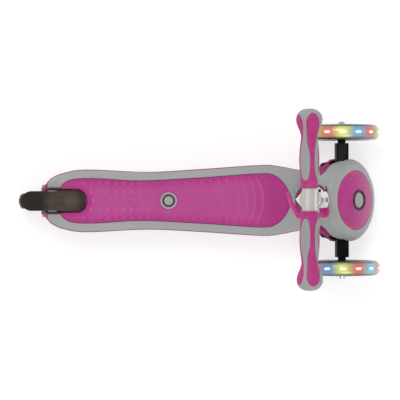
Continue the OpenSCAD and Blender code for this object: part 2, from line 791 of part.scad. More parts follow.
socket_low = 23;
socket_top = 56;
tube_wall = 1.8;
knuckle_r = 17;
module fold_knuckle() {
    color(grey) column() difference() {
        union() {
            rotate([90, 0, 0]) cylinder(r = knuckle_r, h = 2 * (ear_in - gap), center = true);
            translate([-knuckle_r + 3, -ear_in + gap, 0])
                cube([2 * knuckle_r - 6, 2 * (ear_in - gap), socket_low + 1]);
            translate([0, 0, socket_low]) cylinder(r = tube_r + 3.5, h = socket_top - socket_low);
        }
        rotate([90, 0, 0]) cylinder(r = fold_pin_r + run, h = 100, center = true);
        translate([0, 0, socket_low + 5]) cylinder(r = tube_r, h = 100);
    }
}
module lower_tube() {
    color(pale) column() translate([0, 0, socket_low + 5]) difference() {
        cylinder(r = tube_r, h = tube_len - socket_low - 5);
        translate([0, 0, -1]) cylinder(r = tube_r - tube_wall, h = tube_len);
    }
}
bush_low = tube_len - 40;
flange_t = 5;
module tube_bush() {
    color(pale) column() difference() {
        union() {
            translate([0, 0, bush_low]) cylinder(r = tube_r - tube_wall, h = tube_len - bush_low);
            translate([0, 0, tube_len]) cylinder(r = clamp_r - 3.2, h = flange_t);
            translate([0, 0, tube_len]) linear_extrude(flange_t)
                polygon([[-clamp_r + 1.6, -2.5], [-clamp_r + 1.6, -1], [-10, 17], [-10, -17]]);
        }
        cylinder(r = stem_r + run, h = 500);
    }
}
collar_low = tube_len - 26;
clamp_y = -(tube_r + 4.6);
nut_r = 8.6;
clamp_bolt_r = 2.5;
clamp_z = tube_len - 13;
ear_x = 12;
module clamp_collar() {
    color(magenta) column() difference() {
        union() {
            translate([0, 0, collar_low]) cylinder(r = clamp_r, h = tube_len - collar_low);
            // raised lip round the bush's flange
            translate([0, 0, tube_len]) difference() {
                cylinder(r = clamp_r, h = flange_t);
                translate([0, 0, -1]) cylinder(r = clamp_r - 3, h = 20);
                translate([-clamp_r - 1, -7, -1]) cube([clamp_r, 14, 20]);
                translate([10, -60, -1]) cube([60, 72, 20]);
                translate([-8, -60, -1]) cube([60, 60, 20]);
            }
            translate([-ear_x, clamp_y - 6, collar_low]) cube([2 * ear_x, 20, tube_len - collar_low]);
        }
        translate([0, 0, collar_low - 1]) cylinder(r = tube_r + 0.02, h = tube_len - collar_low + 1 + eps);
        translate([-1, -80, collar_low - 1]) cube([2, 80 - tube_r + 2, 80]);
        translate([-60, clamp_y, clamp_z]) rotate([0, 90, 0]) cylinder(r = clamp_bolt_r, h = 120);
        // seats of the nut and of the lever's cheeks
        translate([ear_x, clamp_y, clamp_z]) rotate([0, 90, 0]) cylinder(r = nut_r + 0.6, h = 60);
        translate([lever_x, clamp_y, collar_low - 1]) cylinder(r = cheek_r + 0.6, h = 80);
    }
}
lever_x = -ear_x - 6.5;
lever_pin_r = 2.5;
cheek_r = 5.6;
module clamp_bolt() {
    color(steel) column() {
        translate([lever_x, clamp_y, clamp_z]) rotate([0, 90, 0])
            cylinder(r = clamp_bolt_r, h = ear_x + 8 - lever_x);
        translate([lever_x, clamp_y, clamp_z - 10]) cylinder(r = lever_pin_r, h = 20);
    }
}
module clamp_nut() {
    color(magenta) column() translate([ear_x, clamp_y, clamp_z]) rotate([0, 90, 0]) difference() {
        rotate_extrude() polygon(concat([[0, 0], [nut_r, 0]],
            [for (a = [0 : 15 : 90]) [nut_r * cos(a), 4 + nut_r * sin(a)]]));
        translate([0, 0, -1]) cylinder(r = clamp_bolt_r, h = 9);
    }
}
lever_w = 5;
lever_turn = 63;           // how far round the collar the lever reaches
lever_out = 9;             // how far its tip stands off
module clamp_lever() {
    // cam cheeks round the pin, and a curved arm that hugs the collar
    color(magenta) column() translate([lever_x, clamp_y, 0]) difference() {
        union() {
            for (z = [clamp_z - 10, clamp_z + 3.4]) translate([0, 0, z]) cylinder(r = cheek_r, h = 6.6);
            translate([0, 0, clamp_z - 10]) linear_extrude(20) difference() {
                lever_plan();
                circle(6.4);
            }
            for (z = [clamp_z - 10, clamp_z + 3.4]) translate([0, 0, z]) linear_extrude(6.6) lever_plan();
        }
        translate([0, 0, clamp_z - 20]) cylinder(r = lever_pin_r + run, h = 40);
    }
}
lever_root = [norm([lever_x, clamp_y]), atan2(clamp_y, lever_x) + 360];
function lever_point(t, side) =
    let (r = lever_root[0] + lever_out * pow(t, 1.5) + side * lever_w / 2 * (1 - 0.35 * t),
         a = lever_root[1] - lever_turn * t)
    [r * cos(a) - lever_x, r * sin(a) - clamp_y];
module lever_plan() {
    n = 12;
    polygon(concat([for (k = [0 : n]) lever_point(k / n, -1)],
                   [for (k = [n : -1 : 0]) lever_point(k / n, 1)]));
}

// ---- stem and handlebar ---------------------------------------------------

stem_low = 70;
stem_wall = 1.6;
module stem_tube() {
    color(steel) column() translate([0, 0, stem_low]) difference() {
        cylinder(r = stem_r, h = bar_up - stem_low);
        translate([0, 0, -1]) cylinder(r = stem_r - stem_wall, h = bar_up);
        translate([0, 0, bar_up - stem_low]) rotate([90, 0, 0]) cylinder(r = cross_r, h = 100, center = true);
    }
}
core_r = 8;
cross_half = 15.5;
half_bar = bar_w / 2;
module cross_tube() {
    color(pale) column() translate([0, 0, bar_up]) rotate([90, 0, 0]) {
        cylinder(r = cross_r, h = 2 * cross_half, center = true);
        cylinder(r = core_r, h = 2 * (half_bar - 18), center = true);
    }
}
grip_line = [
    [cross_half, cross_r - 0.4], [cross_half + 9, cross_r - 0.6], [cross_half + 25, 13.4],
    [cross_half + 39, 14], [cross_half + 53, 13.3], [half_bar - 43, 11.8], [half_bar - 37, 11.5],
    [half_bar - 30, 13.5], [half_bar - 23, bulb_r - 1.5], [half_bar - 16, bulb_r],
    [half_bar - 9, bulb_r - 1.2],
    [half_bar - 3.5, bulb_r - 5.6], [half_bar - 0.8, bulb_r - 11.5]
];
sleeve_t = 2.2;
function spun(by) = [for (q = smooth(grip_line, 3)) [max(q[1] - by, 1), q[0]]];
module grip_body(by) {
    rotate([-90, 0, 0]) rotate_extrude() polygon(concat(
        [[0, cross_half]], spun(by), [[0, half_bar - (by > 0 ? by : 0)]]));
}
// Grey sleeve over the middle and the bulb, open along its top.
module sleeve_zone() {
    translate([-60, cross_half + 12, -60]) cube([120, half_bar, 60]);
    translate([-60, cross_half + 12, -60]) cube([54, half_bar, 120]);
    translate([8, cross_half + 12, -60]) cube([54, half_bar, 120]);
    translate([-60, half_bar - 12, -60]) cube([120, 60, 120]);
}
module grip_core(side) {
    color(magenta) column() translate([0, 0, bar_up]) mirrored_y(side) difference() {
        union() {
            intersection() {
                grip_body(sleeve_t);
                translate([-60, 0, -60]) cube([120, half_bar - 3, 120]);
            }
            difference() {
                grip_body(0);
                sleeve_zone();
            }
        }
        rotate([-90, 0, 0]) cylinder(r = core_r, h = half_bar - 18);
    }
}
module grip_sleeve(side) {
    color(grey) column() translate([0, 0, bar_up]) mirrored_y(side) difference() {
        intersection() {
            grip_body(0);
            sleeve_zone();
        }
        intersection() {
            grip_body(sleeve_t);
            translate([-60, 0, -60]) cube([120, half_bar - 3, 120]);
        }
    }
}
module grip_core_left() { grip_core(1); }
module grip_core_right() { grip_core(-1); }
module grip_sleeve_left() { grip_sleeve(1); }
module grip_sleeve_right() { grip_sleeve(-1); }

deck_body();
deck_rim();
deck_pad();
deck_badge();
deck_screws();
pod_chassis();
pod_cover();
nose_disc();
lock_collar();
kingpin();
bump_stops();
steering_spring();
fold_bracket();
bracket_screws();
fold_pin();
fold_pin_nut();
rear_axle();
rear_axle_nut();
rear_spacers();
brake_pin();
brake_spring();
truck_beam();
truck_bushes();
axle_bolt_left();
axle_bolt_right();
magnet_cores();
tyre_left();
light_ring_left();
hub_left();
bearings_left();
tyre_right();
light_ring_right();
hub_right();
bearings_right();
rear_tyre();
rear_hub();
rear_bearings();
brake_fender();
brake_plate();
lock_button();
lock_spring();
fold_knuckle();
lower_tube();
clamp_collar();
tube_bush();
clamp_bolt();
clamp_nut();
clamp_lever();
fold_button();
button_spring();
stem_tube();
cross_tube();
grip_core_left();
grip_core_right();
grip_sleeve_left();
grip_sleeve_right();
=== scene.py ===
import json
import math

import bmesh
import bpy
import numpy as np
from mathutils import Matrix, Vector


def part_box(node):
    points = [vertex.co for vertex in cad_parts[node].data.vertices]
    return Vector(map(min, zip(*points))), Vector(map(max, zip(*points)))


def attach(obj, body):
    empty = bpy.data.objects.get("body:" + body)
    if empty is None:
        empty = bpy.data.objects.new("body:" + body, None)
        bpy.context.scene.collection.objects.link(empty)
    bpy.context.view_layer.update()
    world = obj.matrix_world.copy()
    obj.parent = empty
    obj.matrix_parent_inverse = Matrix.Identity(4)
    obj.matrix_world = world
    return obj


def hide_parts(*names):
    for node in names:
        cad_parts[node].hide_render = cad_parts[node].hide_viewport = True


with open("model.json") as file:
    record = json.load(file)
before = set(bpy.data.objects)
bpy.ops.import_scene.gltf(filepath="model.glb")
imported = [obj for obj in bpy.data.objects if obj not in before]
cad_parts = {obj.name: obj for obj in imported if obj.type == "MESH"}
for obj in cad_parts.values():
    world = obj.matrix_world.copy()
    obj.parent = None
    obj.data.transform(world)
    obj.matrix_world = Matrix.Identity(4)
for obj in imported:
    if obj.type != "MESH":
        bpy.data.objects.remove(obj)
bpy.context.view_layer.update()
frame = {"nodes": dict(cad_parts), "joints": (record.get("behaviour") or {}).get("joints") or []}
nodes = frame["nodes"]
joints = {j["name"]: j for j in frame["joints"]}
scene = bpy.context.scene
mm = 0.001
weldReach = 2e-6      # metres: points nearer than this are one

cameraSettings = {
    "target": (-0.0016, 0.0009, 0.060),
    "distance": 4.425,
    "tilt": 7.6,          # degrees from straight down, seen from behind
    "side": 0.08,         # degrees towards the scooter's right
    "lens": 253.7,
    "roll": -0.17,
    "clip": (0.05, 50),
    "sensor": 36,
}
lightSettings = {
    # name: place, size, power, colour
    "keySoftbox": ((-0.9, 1.3, 2.6), 1.6, 27, (1.0, 0.985, 0.96)),
    "sideSoftbox": ((0.4, -2.0, 1.5), 1.2, 13, (0.96, 0.98, 1.0)),
    "noseSoftbox": ((2.2, 0.3, 1.4), 1.0, 2.5, (1.0, 1.0, 1.0)),
}
airSettings = {"aim": (0, 0, 0.1), "strength": 0.64}


def aimedAt(place, target):
    return (Vector(target) - Vector(place)).to_track_quat("-Z", "Y")


def makeCamera(s):
    data = bpy.data.cameras.new("viewCamera")
    data.lens, data.sensor_width = s["lens"], s["sensor"]
    data.clip_start, data.clip_end = s["clip"]
    cam = bpy.data.objects.new("viewCamera", data)
    scene.collection.objects.link(cam)
    tilt = math.radians(s["tilt"])
    back = Vector((-math.sin(tilt), -math.sin(math.radians(s["side"])), math.cos(tilt))).normalized()
    right = Vector((math.cos(tilt), 0, math.sin(tilt)))
    right = (right - back * right.dot(back)).normalized()
    up = back.cross(right)
    turn = Matrix((right, up, back)).transposed()
    cam.rotation_mode = "QUATERNION"
    roll = Matrix.Rotation(math.radians(s["roll"]), 3, "Z")
    cam.rotation_quaternion = (turn @ roll).to_quaternion()
    cam.location = Vector(s["target"]) + back * s["distance"]
    scene.camera = cam


def makeLights(settings, air):
    for name, (place, size, power, colour) in settings.items():
        data = bpy.data.lights.new(name, "AREA")
        data.shape, data.size = "DISK", size
        data.energy, data.color = power, colour
        lamp = bpy.data.objects.new(name, data)
        lamp.location = place
        lamp.rotation_mode = "QUATERNION"
        lamp.rotation_quaternion = aimedAt(place, air["aim"])
        scene.collection.objects.link(lamp)
    world = bpy.data.worlds.new("studioAir")
    world.use_nodes = True
    sky = world.node_tree.nodes["Background"]
    sky.inputs["Color"].default_value = (1, 1, 1, 1)
    sky.inputs["Strength"].default_value = air["strength"]
    scene.world = world


makeCamera(cameraSettings)
makeLights(lightSettings, airSettings)
scene.view_settings.view_transform = "Standard"
print("camera and lights are in place")


def placed(points, base):
    # each point is the frame's origin plus its three coordinates along the frame's axes, in mm
    origin, axes = base
    return origin + np.asarray(points, float) @ axes


def frameAt(origin, up):
    # local Z runs along up, local Y stays level and to the left, local X completes them
    z = np.array(up, float) / np.linalg.norm(up)
    y = np.array((0.0, 1.0, 0.0))
    x = np.cross(y, z)
    return np.array(origin, float), np.array((x, y, z))


def centreOf(node):
    low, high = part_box(node)
    return np.array((low + high) / 2) / mm


def halfOf(node):
    low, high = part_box(node)
    return np.array(high - low) / 2 / mm


level = (np.zeros(3), np.eye(3))
steerFrame = frameAt(np.array(joints["truck_steer"]["pos_m"]) / mm, joints["truck_steer"]["axis"])
columnUp = joints["handlebar_height"]["axis"]
columnFrame = frameAt(np.array(joints["column_fold"]["pos_m"]) / mm, columnUp)
barCentre = centreOf("cross_tube")
barFrame = (barCentre, columnFrame[1])
rearAxle = centreOf("rear_tyre")
sideways = np.array(((0.0, 0.0, 1.0), (1.0, 0.0, 0.0), (0.0, 1.0, 0.0)))   # local Z runs along +Y


def axleFrame(centre):
    return np.array(centre, float), sideways


def gridFaces(rows, cols, closeRows=False, closeCols=False, start=0):
    # quads between neighbours of a rows by cols grid, as one sum of index arrays
    i = np.arange(rows if closeRows else rows - 1)[:, None]
    j = np.arange(cols if closeCols else cols - 1)[None, :]
    i2, j2 = (i + 1) % rows, (j + 1) % cols
    quads = np.stack([i * cols + j, i * cols + j2, i2 * cols + j2, i2 * cols + j], -1)
    return quads.reshape(-1, 4) + start


def makeMesh(name, sheets, materials, sharp=42, values=None):
    # joins grids of points (mm) into one mesh. Each sheet is (points, closeRows, closeCols, slots)
    points, faces, slots, count = [], [], [], 0
    for grid, closeRows, closeCols, slot in sheets:
        rows, cols = grid.shape[:2]
        quads = gridFaces(rows, cols, closeRows, closeCols, count)
        points.append(grid.reshape(-1, 3))
        faces.append(quads)
        slots.append(np.broadcast_to(np.asarray(slot).reshape(-1, 1) if np.ndim(slot) == 1 else slot,
                                     (rows if closeRows else rows - 1,
                                      cols if closeCols else cols - 1)).reshape(-1))
        count += rows * cols
    points, faces = np.concatenate(points) * mm, np.concatenate(faces)
    mesh = bpy.data.meshes.new(name)
    mesh.vertices.add(len(points))
    mesh.vertices.foreach_set("co", points.astype(np.float32).ravel())
    mesh.loops.add(faces.size)
    mesh.loops.foreach_set("vertex_index", faces.astype(np.int32).ravel())
    mesh.polygons.add(len(faces))
    mesh.polygons.foreach_set("loop_start", np.arange(0, faces.size, 4, dtype=np.int32))
    mesh.polygons.foreach_set("material_index", np.concatenate(slots).astype(np.int32))
    mesh.update(calc_edges=True)
    for key, data in (values or {}).items():
        layer = mesh.attributes.new(key, "FLOAT", "POINT")
        layer.data.foreach_set("value", np.asarray(data, np.float32).ravel())
    work = bmesh.new()
    work.from_mesh(mesh)
    bmesh.ops.remove_doubles(work, verts=work.verts, dist=weldReach)
    bmesh.ops.dissolve_degenerate(work, edges=work.edges, dist=weldReach / 2)
    bmesh.ops.recalc_face_normals(work, faces=work.faces)
    work.to_mesh(mesh)
    work.free()
    mesh.shade_smooth()
    mesh.set_sharp_from_angle(angle=math.radians(sharp))
    for m in materials:
        mesh.materials.append(m)
    return mesh


def makePiece(name, sheets, materials, body, replaced=(), sharp=42, values=None):
    mesh = makeMesh(name, sheets, materials, sharp, values)
    piece = bpy.data.objects.new(name, mesh)
    scene.collection.objects.link(piece)
    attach(piece, body)
    if replaced:
        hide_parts(*replaced)
    return piece


def turned(profile, base, steps=96):
    # a profile of (radius, height) points carried round the frame's Z axis: x = r cos a, y = r sin a
    p = np.asarray(profile, float)
    a = np.linspace(0, 2 * np.pi, steps, endpoint=False)[None, :]
    r, h = p[:, :1], p[:, 1:2]
    grid = np.stack([r * np.cos(a), r * np.sin(a), h + 0 * a], -1)
    return placed(grid, base)


def rounded(points, radius, steps=4):
    # each corner becomes a short quadratic curve between points set back by the radius
    p = np.asarray(points, float)
    out = [p[:1]]
    t = np.linspace(0, 1, steps + 1)[:, None]
    for i in range(1, len(p) - 1):
        a, b, c = p[i - 1], p[i], p[i + 1]
        la, lc = np.linalg.norm(a - b), np.linalg.norm(c - b)
        s = min(radius, la * 0.45, lc * 0.45)
        start, end = b + (a - b) / la * s, b + (c - b) / lc * s
        out.append((1 - t) ** 2 * start + 2 * t * (1 - t) * b + t ** 2 * end)
    out.append(p[-1:])
    return np.concatenate(out)


def smoothed(points, steps=6):
    # Catmull-Rom curve: each stretch is a cubic through its two points, leaning on their neighbours
    p = np.asarray(points, float)
    padded = np.concatenate([p[:1], p, p[-1:]])
    t = np.linspace(0, 1, steps, endpoint=False)[None, :, None]
    a, b, c, d = (padded[k:len(padded) - 3 + k, None, :] for k in range(4))
    leanStart, leanEnd = (c - a) / 2, (d - b) / 2
    curve = ((2 * t**3 - 3 * t**2 + 1) * b + (t**3 - 2 * t**2 + t) * leanStart
             + (3 * t**2 - 2 * t**3) * c + (t**3 - t**2) * leanEnd)
    return np.concatenate([curve.reshape(-1, p.shape[1]), p[-1:]])


def between(x, low, high):
    # 0 below low, 1 above high, and a smooth cubic step from one to the other
    t = np.clip((x - low) / (high - low), 0, 1)
    return t * t * (3 - 2 * t)


def edgeDistance(x, y, outline):
    # shortest distance from each point to a closed outline, over all its straight stretches at once
    a, b = outline, np.roll(outline, -1, 0)
    d = b - a
    px, py = x[..., None] - a[:, 0], y[..., None] - a[:, 1]
    t = np.clip((px * d[:, 0] + py * d[:, 1]) / np.maximum((d**2).sum(1), 1e-9), 0, 1)
    return np.sqrt((px - t * d[:, 0])**2 + (py - t * d[:, 1])**2).min(-1)


def edgeRoll(distance, radius):
    # how far a rounded edge falls: the radius minus the height of a circle at that distance
    inside = np.clip(radius - distance, 0, radius)
    return radius - np.sqrt(np.maximum(radius**2 - inside**2, 0))


def softened(name, node, width, material, body, segments=3, angle=32, reshape=None):
    # a copy of a CAD solid with its doubles merged, its flat faces joined and its sharp edges rounded
    mesh = nodes[node].data.copy()
    mesh.name = name
    mesh.materials.clear()
    mesh.materials.append(material)
    work = bmesh.new()
    work.from_mesh(mesh)
    for f in work.faces:
        f.material_index = 0
    bmesh.ops.remove_doubles(work, verts=work.verts, dist=weldReach)
    bmesh.ops.dissolve_limit(work, angle_limit=math.radians(0.8), verts=work.verts, edges=work.edges)
    work.to_mesh(mesh)
    work.free()
    if reshape is not None:
        points = np.empty(len(mesh.vertices) * 3, np.float32)
        mesh.vertices.foreach_get("co", points)
        points = reshape(points.reshape(-1, 3).astype(float) / mm)
        mesh.vertices.foreach_set("co", (points * mm).astype(np.float32).ravel())
        mesh.update()
    piece = bpy.data.objects.new(name, mesh)
    scene.collection.objects.link(piece)
    edge = piece.modifiers.new("edgeRounding", "BEVEL")
    edge.width, edge.segments = width * mm, segments
    edge.limit_method, edge.angle_limit = "ANGLE", math.radians(angle)
    edge.harden_normals = True
    edge.use_clamp_overlap = True
    mesh.shade_smooth()
    mesh.set_sharp_from_angle(angle=math.radians(angle + 8))
    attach(piece, body)
    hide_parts(node)
    return piece


def linear(colour):
    # screen colour (0 to 255) to linear light
    c = np.asarray(colour, float) / 255
    return tuple(np.where(c <= 0.04045, c / 12.92, ((c + 0.055) / 1.055) ** 2.4)) + (1.0,)


# short ways to add and join shader nodes
class Tree:
    def __init__(self, tree):
        self.tree = tree

    def add(self, kind, **settings):
        node = self.tree.nodes.new(kind)
        for key, value in settings.items():
            setattr(node, key, value)
        return node

    def join(self, a, b):
        self.tree.links.new(a, b)

    def put(self, socket, value):
        if isinstance(value, bpy.types.NodeSocket):
            self.join(value, socket)
        else:
            socket.default_value = value

    def sum(self, operation, *values, clamp=False):
        node = self.add("ShaderNodeMath", operation=operation, use_clamp=clamp)
        for socket, value in zip(node.inputs, values):
            self.put(socket, value)
        return node.outputs[0]

    def mix(self, share, a, b, kind="MIX"):
        node = self.add("ShaderNodeMix", data_type="RGBA", blend_type=kind)
        self.put(node.inputs["Factor"], share)
        self.put(node.inputs["A"], a)
        self.put(node.inputs["B"], b)
        return node.outputs["Result"]

    def noise(self, vector, scale, detail=2.0, rough=0.5, distortion=0.0):
        node = self.add("ShaderNodeTexNoise")
        self.put(node.inputs["Vector"], vector)
        self.put(node.inputs["Scale"], scale)
        node.inputs["Detail"].default_value = detail
        node.inputs["Roughness"].default_value = rough
        node.inputs["Distortion"].default_value = distortion
        return node.outputs["Fac"]

    def stretch(self, vector, scale):
        node = self.add("ShaderNodeMapping")
        self.put(node.inputs["Vector"], vector)
        node.inputs["Scale"].default_value = scale
        return node.outputs["Vector"]

    def band(self, value, low, high):
        node = self.add("ShaderNodeMapRange", interpolation_type="SMOOTHSTEP")
        self.put(node.inputs["Value"], value)
        self.put(node.inputs["From Min"], low)
        self.put(node.inputs["From Max"], high)
        return node.outputs["Result"]


def newGroup(name, inputs, outputs):
    group = bpy.data.node_groups.new(name, "ShaderNodeTree")
    for label, kind, value in inputs:
        socket = group.interface.new_socket(label, in_out="INPUT", socket_type=kind)
        if value is not None:
            socket.default_value = value
    for label, kind in outputs:
        group.interface.new_socket(label, in_out="OUTPUT", socket_type=kind)
    t = Tree(group)
    return group, t, t.add("NodeGroupInput"), t.add("NodeGroupOutput")


def makeGrainGroup():
    # fine moulded texture: two noises of the object's own coordinates, and a slow drift of tone
    group, t, given, out = newGroup(
        "mouldedGrain",
        [("Vector", "NodeSocketVector", None), ("Scale", "NodeSocketFloat", 900.0)],
        [("Height", "NodeSocketFloat"), ("Tone", "NodeSocketFloat")])
    place, scale = given.outputs["Vector"], given.outputs["Scale"]
    fine = t.noise(place, scale, 3.0, 0.6)
    coarse = t.noise(place, t.sum("MULTIPLY", scale, 0.22), 2.0, 0.5)
    t.join(t.sum("ADD", t.sum("MULTIPLY", fine, 0.7), t.sum("MULTIPLY", coarse, 0.3)), out.inputs["Height"])
    drift = t.noise(place, 11.0, 3.0, 0.55)
    t.join(t.band(drift, 0.3, 0.7), out.inputs["Tone"])
    return group


def makeWearGroup():
    # worn edges from how far the surface bulges, and fine rubbed streaks from stretched noise
    group, t, given, out = newGroup(
        "edgeWear",
        [("Vector", "NodeSocketVector", None), ("Amount", "NodeSocketFloat", 0.5)],
        [("Edge", "NodeSocketFloat"), ("Scuff", "NodeSocketFloat")])
    place, amount = given.outputs["Vector"], given.outputs["Amount"]
    bulge = t.add("ShaderNodeNewGeometry").outputs["Pointiness"]
    broken = t.noise(place, 240.0, 3.0, 0.6)
    edge = t.band(t.sum("ADD", bulge, t.sum("MULTIPLY", broken, 0.05)), 0.56, 0.64)
    t.join(t.sum("MULTIPLY", edge, amount, clamp=True), out.inputs["Edge"])
    streak = t.noise(t.stretch(place, (60, 420, 160)), 1.0, 4.0, 0.65, 0.4)
    patch = t.band(t.noise(place, 9.0, 2.0), 0.45, 0.7)
    scuff = t.sum("MULTIPLY", t.band(streak, 0.6, 0.74), patch)
    t.join(t.sum("MULTIPLY", scuff, amount, clamp=True), out.inputs["Scuff"])
    return group


def makeDustGroup():
    # dust lies on what faces up, in soft patches
    group, t, given, out = newGroup(
        "dustFilm",
        [("Vector", "NodeSocketVector", None), ("Amount", "NodeSocketFloat", 0.1)],
        [("Mask", "NodeSocketFloat")])
    facing = t.add("ShaderNodeSeparateXYZ")
    t.join(t.add("ShaderNodeNewGeometry").outputs["Normal"], facing.inputs[0])
    patch = t.band(t.noise(given.outputs["Vector"], 38.0, 5.0, 0.7), 0.4, 0.75)
    up = t.band(facing.outputs["Z"], 0.2, 0.95)
    t.join(t.sum("MULTIPLY", t.sum("MULTIPLY", patch, up), given.outputs["Amount"], clamp=True),
           out.inputs["Mask"])
    return group


def makeBrushGroup():
    # drawn metal: noise stretched along one axis of the object's coordinates
    group, t, given, out = newGroup(
        "drawnLines",
        [("Vector", "NodeSocketVector", None)],
        [("Height", "NodeSocketFloat"), ("Tone", "NodeSocketFloat")])
    lines = t.noise(t.stretch(given.outputs["Vector"], (900, 40, 900)), 1.0, 4.0, 0.7)
    slow = t.noise(t.stretch(given.outputs["Vector"], (160, 9, 160)), 1.0, 2.0, 0.5)
    t.join(lines, out.inputs["Height"])
    t.join(t.band(slow, 0.25, 0.75), out.inputs["Tone"])
    return group


grainGroup, wearGroup = makeGrainGroup(), makeWearGroup()
dustGroup, brushGroup = makeDustGroup(), makeBrushGroup()


def useGroup(t, group, **values):
    node = t.add("ShaderNodeGroup", node_tree=group)
    for key, value in values.items():
        t.put(node.inputs[key], value)
    return node


def startMaterial(name):
    material = bpy.data.materials.new(name)
    material.use_nodes = True
    t = Tree(material.node_tree)
    shader = material.node_tree.nodes["Principled BSDF"]
    place = t.add("ShaderNodeTexCoord").outputs["Object"]
    return material, t, shader, place


wearLook = {"edgeShare": 0.45, "edge": (0.82, 0.80, 0.80, 1), "scuffShare": 0.30, "scuff": (0.60, 0.58, 0.57, 1),
            "dust": (0.55, 0.53, 0.50, 1), "uneven": 0.22, "polish": 0.18, "zoneSoft": 0.18, "bump": 0.6,
            "coatRough": 0.12}


def moulded(name, colour, rough=0.42, grain=900, depth=0.00006, tone=0.10, wear=0.4, dust=0.06,
            coat=0.0, metal=0.0, specular=0.5, zone=None, brushed=False, wearAndPaintedLight=None,
            wearAndPaintedLightShare=0.2):
    # one finish: base colour drifts with tone, edges and scuffs lighten it, dust greys what faces up. Roughness
    # follows the grain and the scuffs, and the grain's height drives the bump
    material, t, shader, place = startMaterial(name)
    base = linear(colour)
    grains = (useGroup(t, brushGroup, Vector=place) if brushed
              else useGroup(t, grainGroup, Vector=place, Scale=float(grain)))
    worn = useGroup(t, wearGroup, Vector=place, Amount=wear)
    film = useGroup(t, dustGroup, Vector=place, Amount=dust)
    # the zone attribute switches to a second colour: the grips' grey sleeves, and painted shade in the collar ridges'
    # troughs
    if zone is not None:
        share = t.add("ShaderNodeAttribute", attribute_name="zone").outputs["Fac"]
        cut = t.band(share, -wearLook["zoneSoft"], wearLook["zoneSoft"])
        base = t.mix(cut, linear(zone), base)
    if wearAndPaintedLight is not None:
        # marked points mix towards a paler colour: rubbed wear on the pad's dots, painted highlight on the pad's ridges
        # and the bar, and a paler middle on the fender with painted shade kept dark in its troughs
        rise = t.add("ShaderNodeAttribute", attribute_name="rise").outputs["Fac"]
        base = t.mix(t.sum("MULTIPLY", rise, wearAndPaintedLightShare, clamp=True), base, linear(wearAndPaintedLight))
    dark = t.mix(1.0, base, (1 - tone, 1 - tone, 1 - tone, 1), "MULTIPLY")
    toned = t.mix(grains.outputs["Tone"], dark, base)
    edged = t.mix(t.sum("MULTIPLY", worn.outputs["Edge"], wearLook["edgeShare"]), toned, wearLook["edge"], "SCREEN")
    scuffed = t.mix(t.sum("MULTIPLY", worn.outputs["Scuff"], wearLook["scuffShare"]), edged, wearLook["scuff"])
    t.join(t.mix(film.outputs["Mask"], scuffed, wearLook["dust"]), shader.inputs["Base Color"])
    uneven = t.sum("MULTIPLY", t.sum("SUBTRACT", grains.outputs["Height"], 0.5), wearLook["uneven"])
    polished = t.sum("MULTIPLY", worn.outputs["Scuff"], wearLook["polish"])
    t.join(t.sum("ADD", t.sum("ADD", uneven, polished), rough, clamp=True), shader.inputs["Roughness"])
    bump = t.add("ShaderNodeBump")
    bump.inputs["Strength"].default_value = wearLook["bump"]
    bump.inputs["Distance"].default_value = depth
    t.join(grains.outputs["Height"], bump.inputs["Height"])
    t.join(bump.outputs["Normal"], shader.inputs["Normal"])
    shader.inputs["Metallic"].default_value = metal
    shader.inputs["Coat Weight"].default_value = coat
    shader.inputs["Coat Roughness"].default_value = wearLook["coatRough"]
    shader.inputs["Specular IOR Level"].default_value = specular
    return material


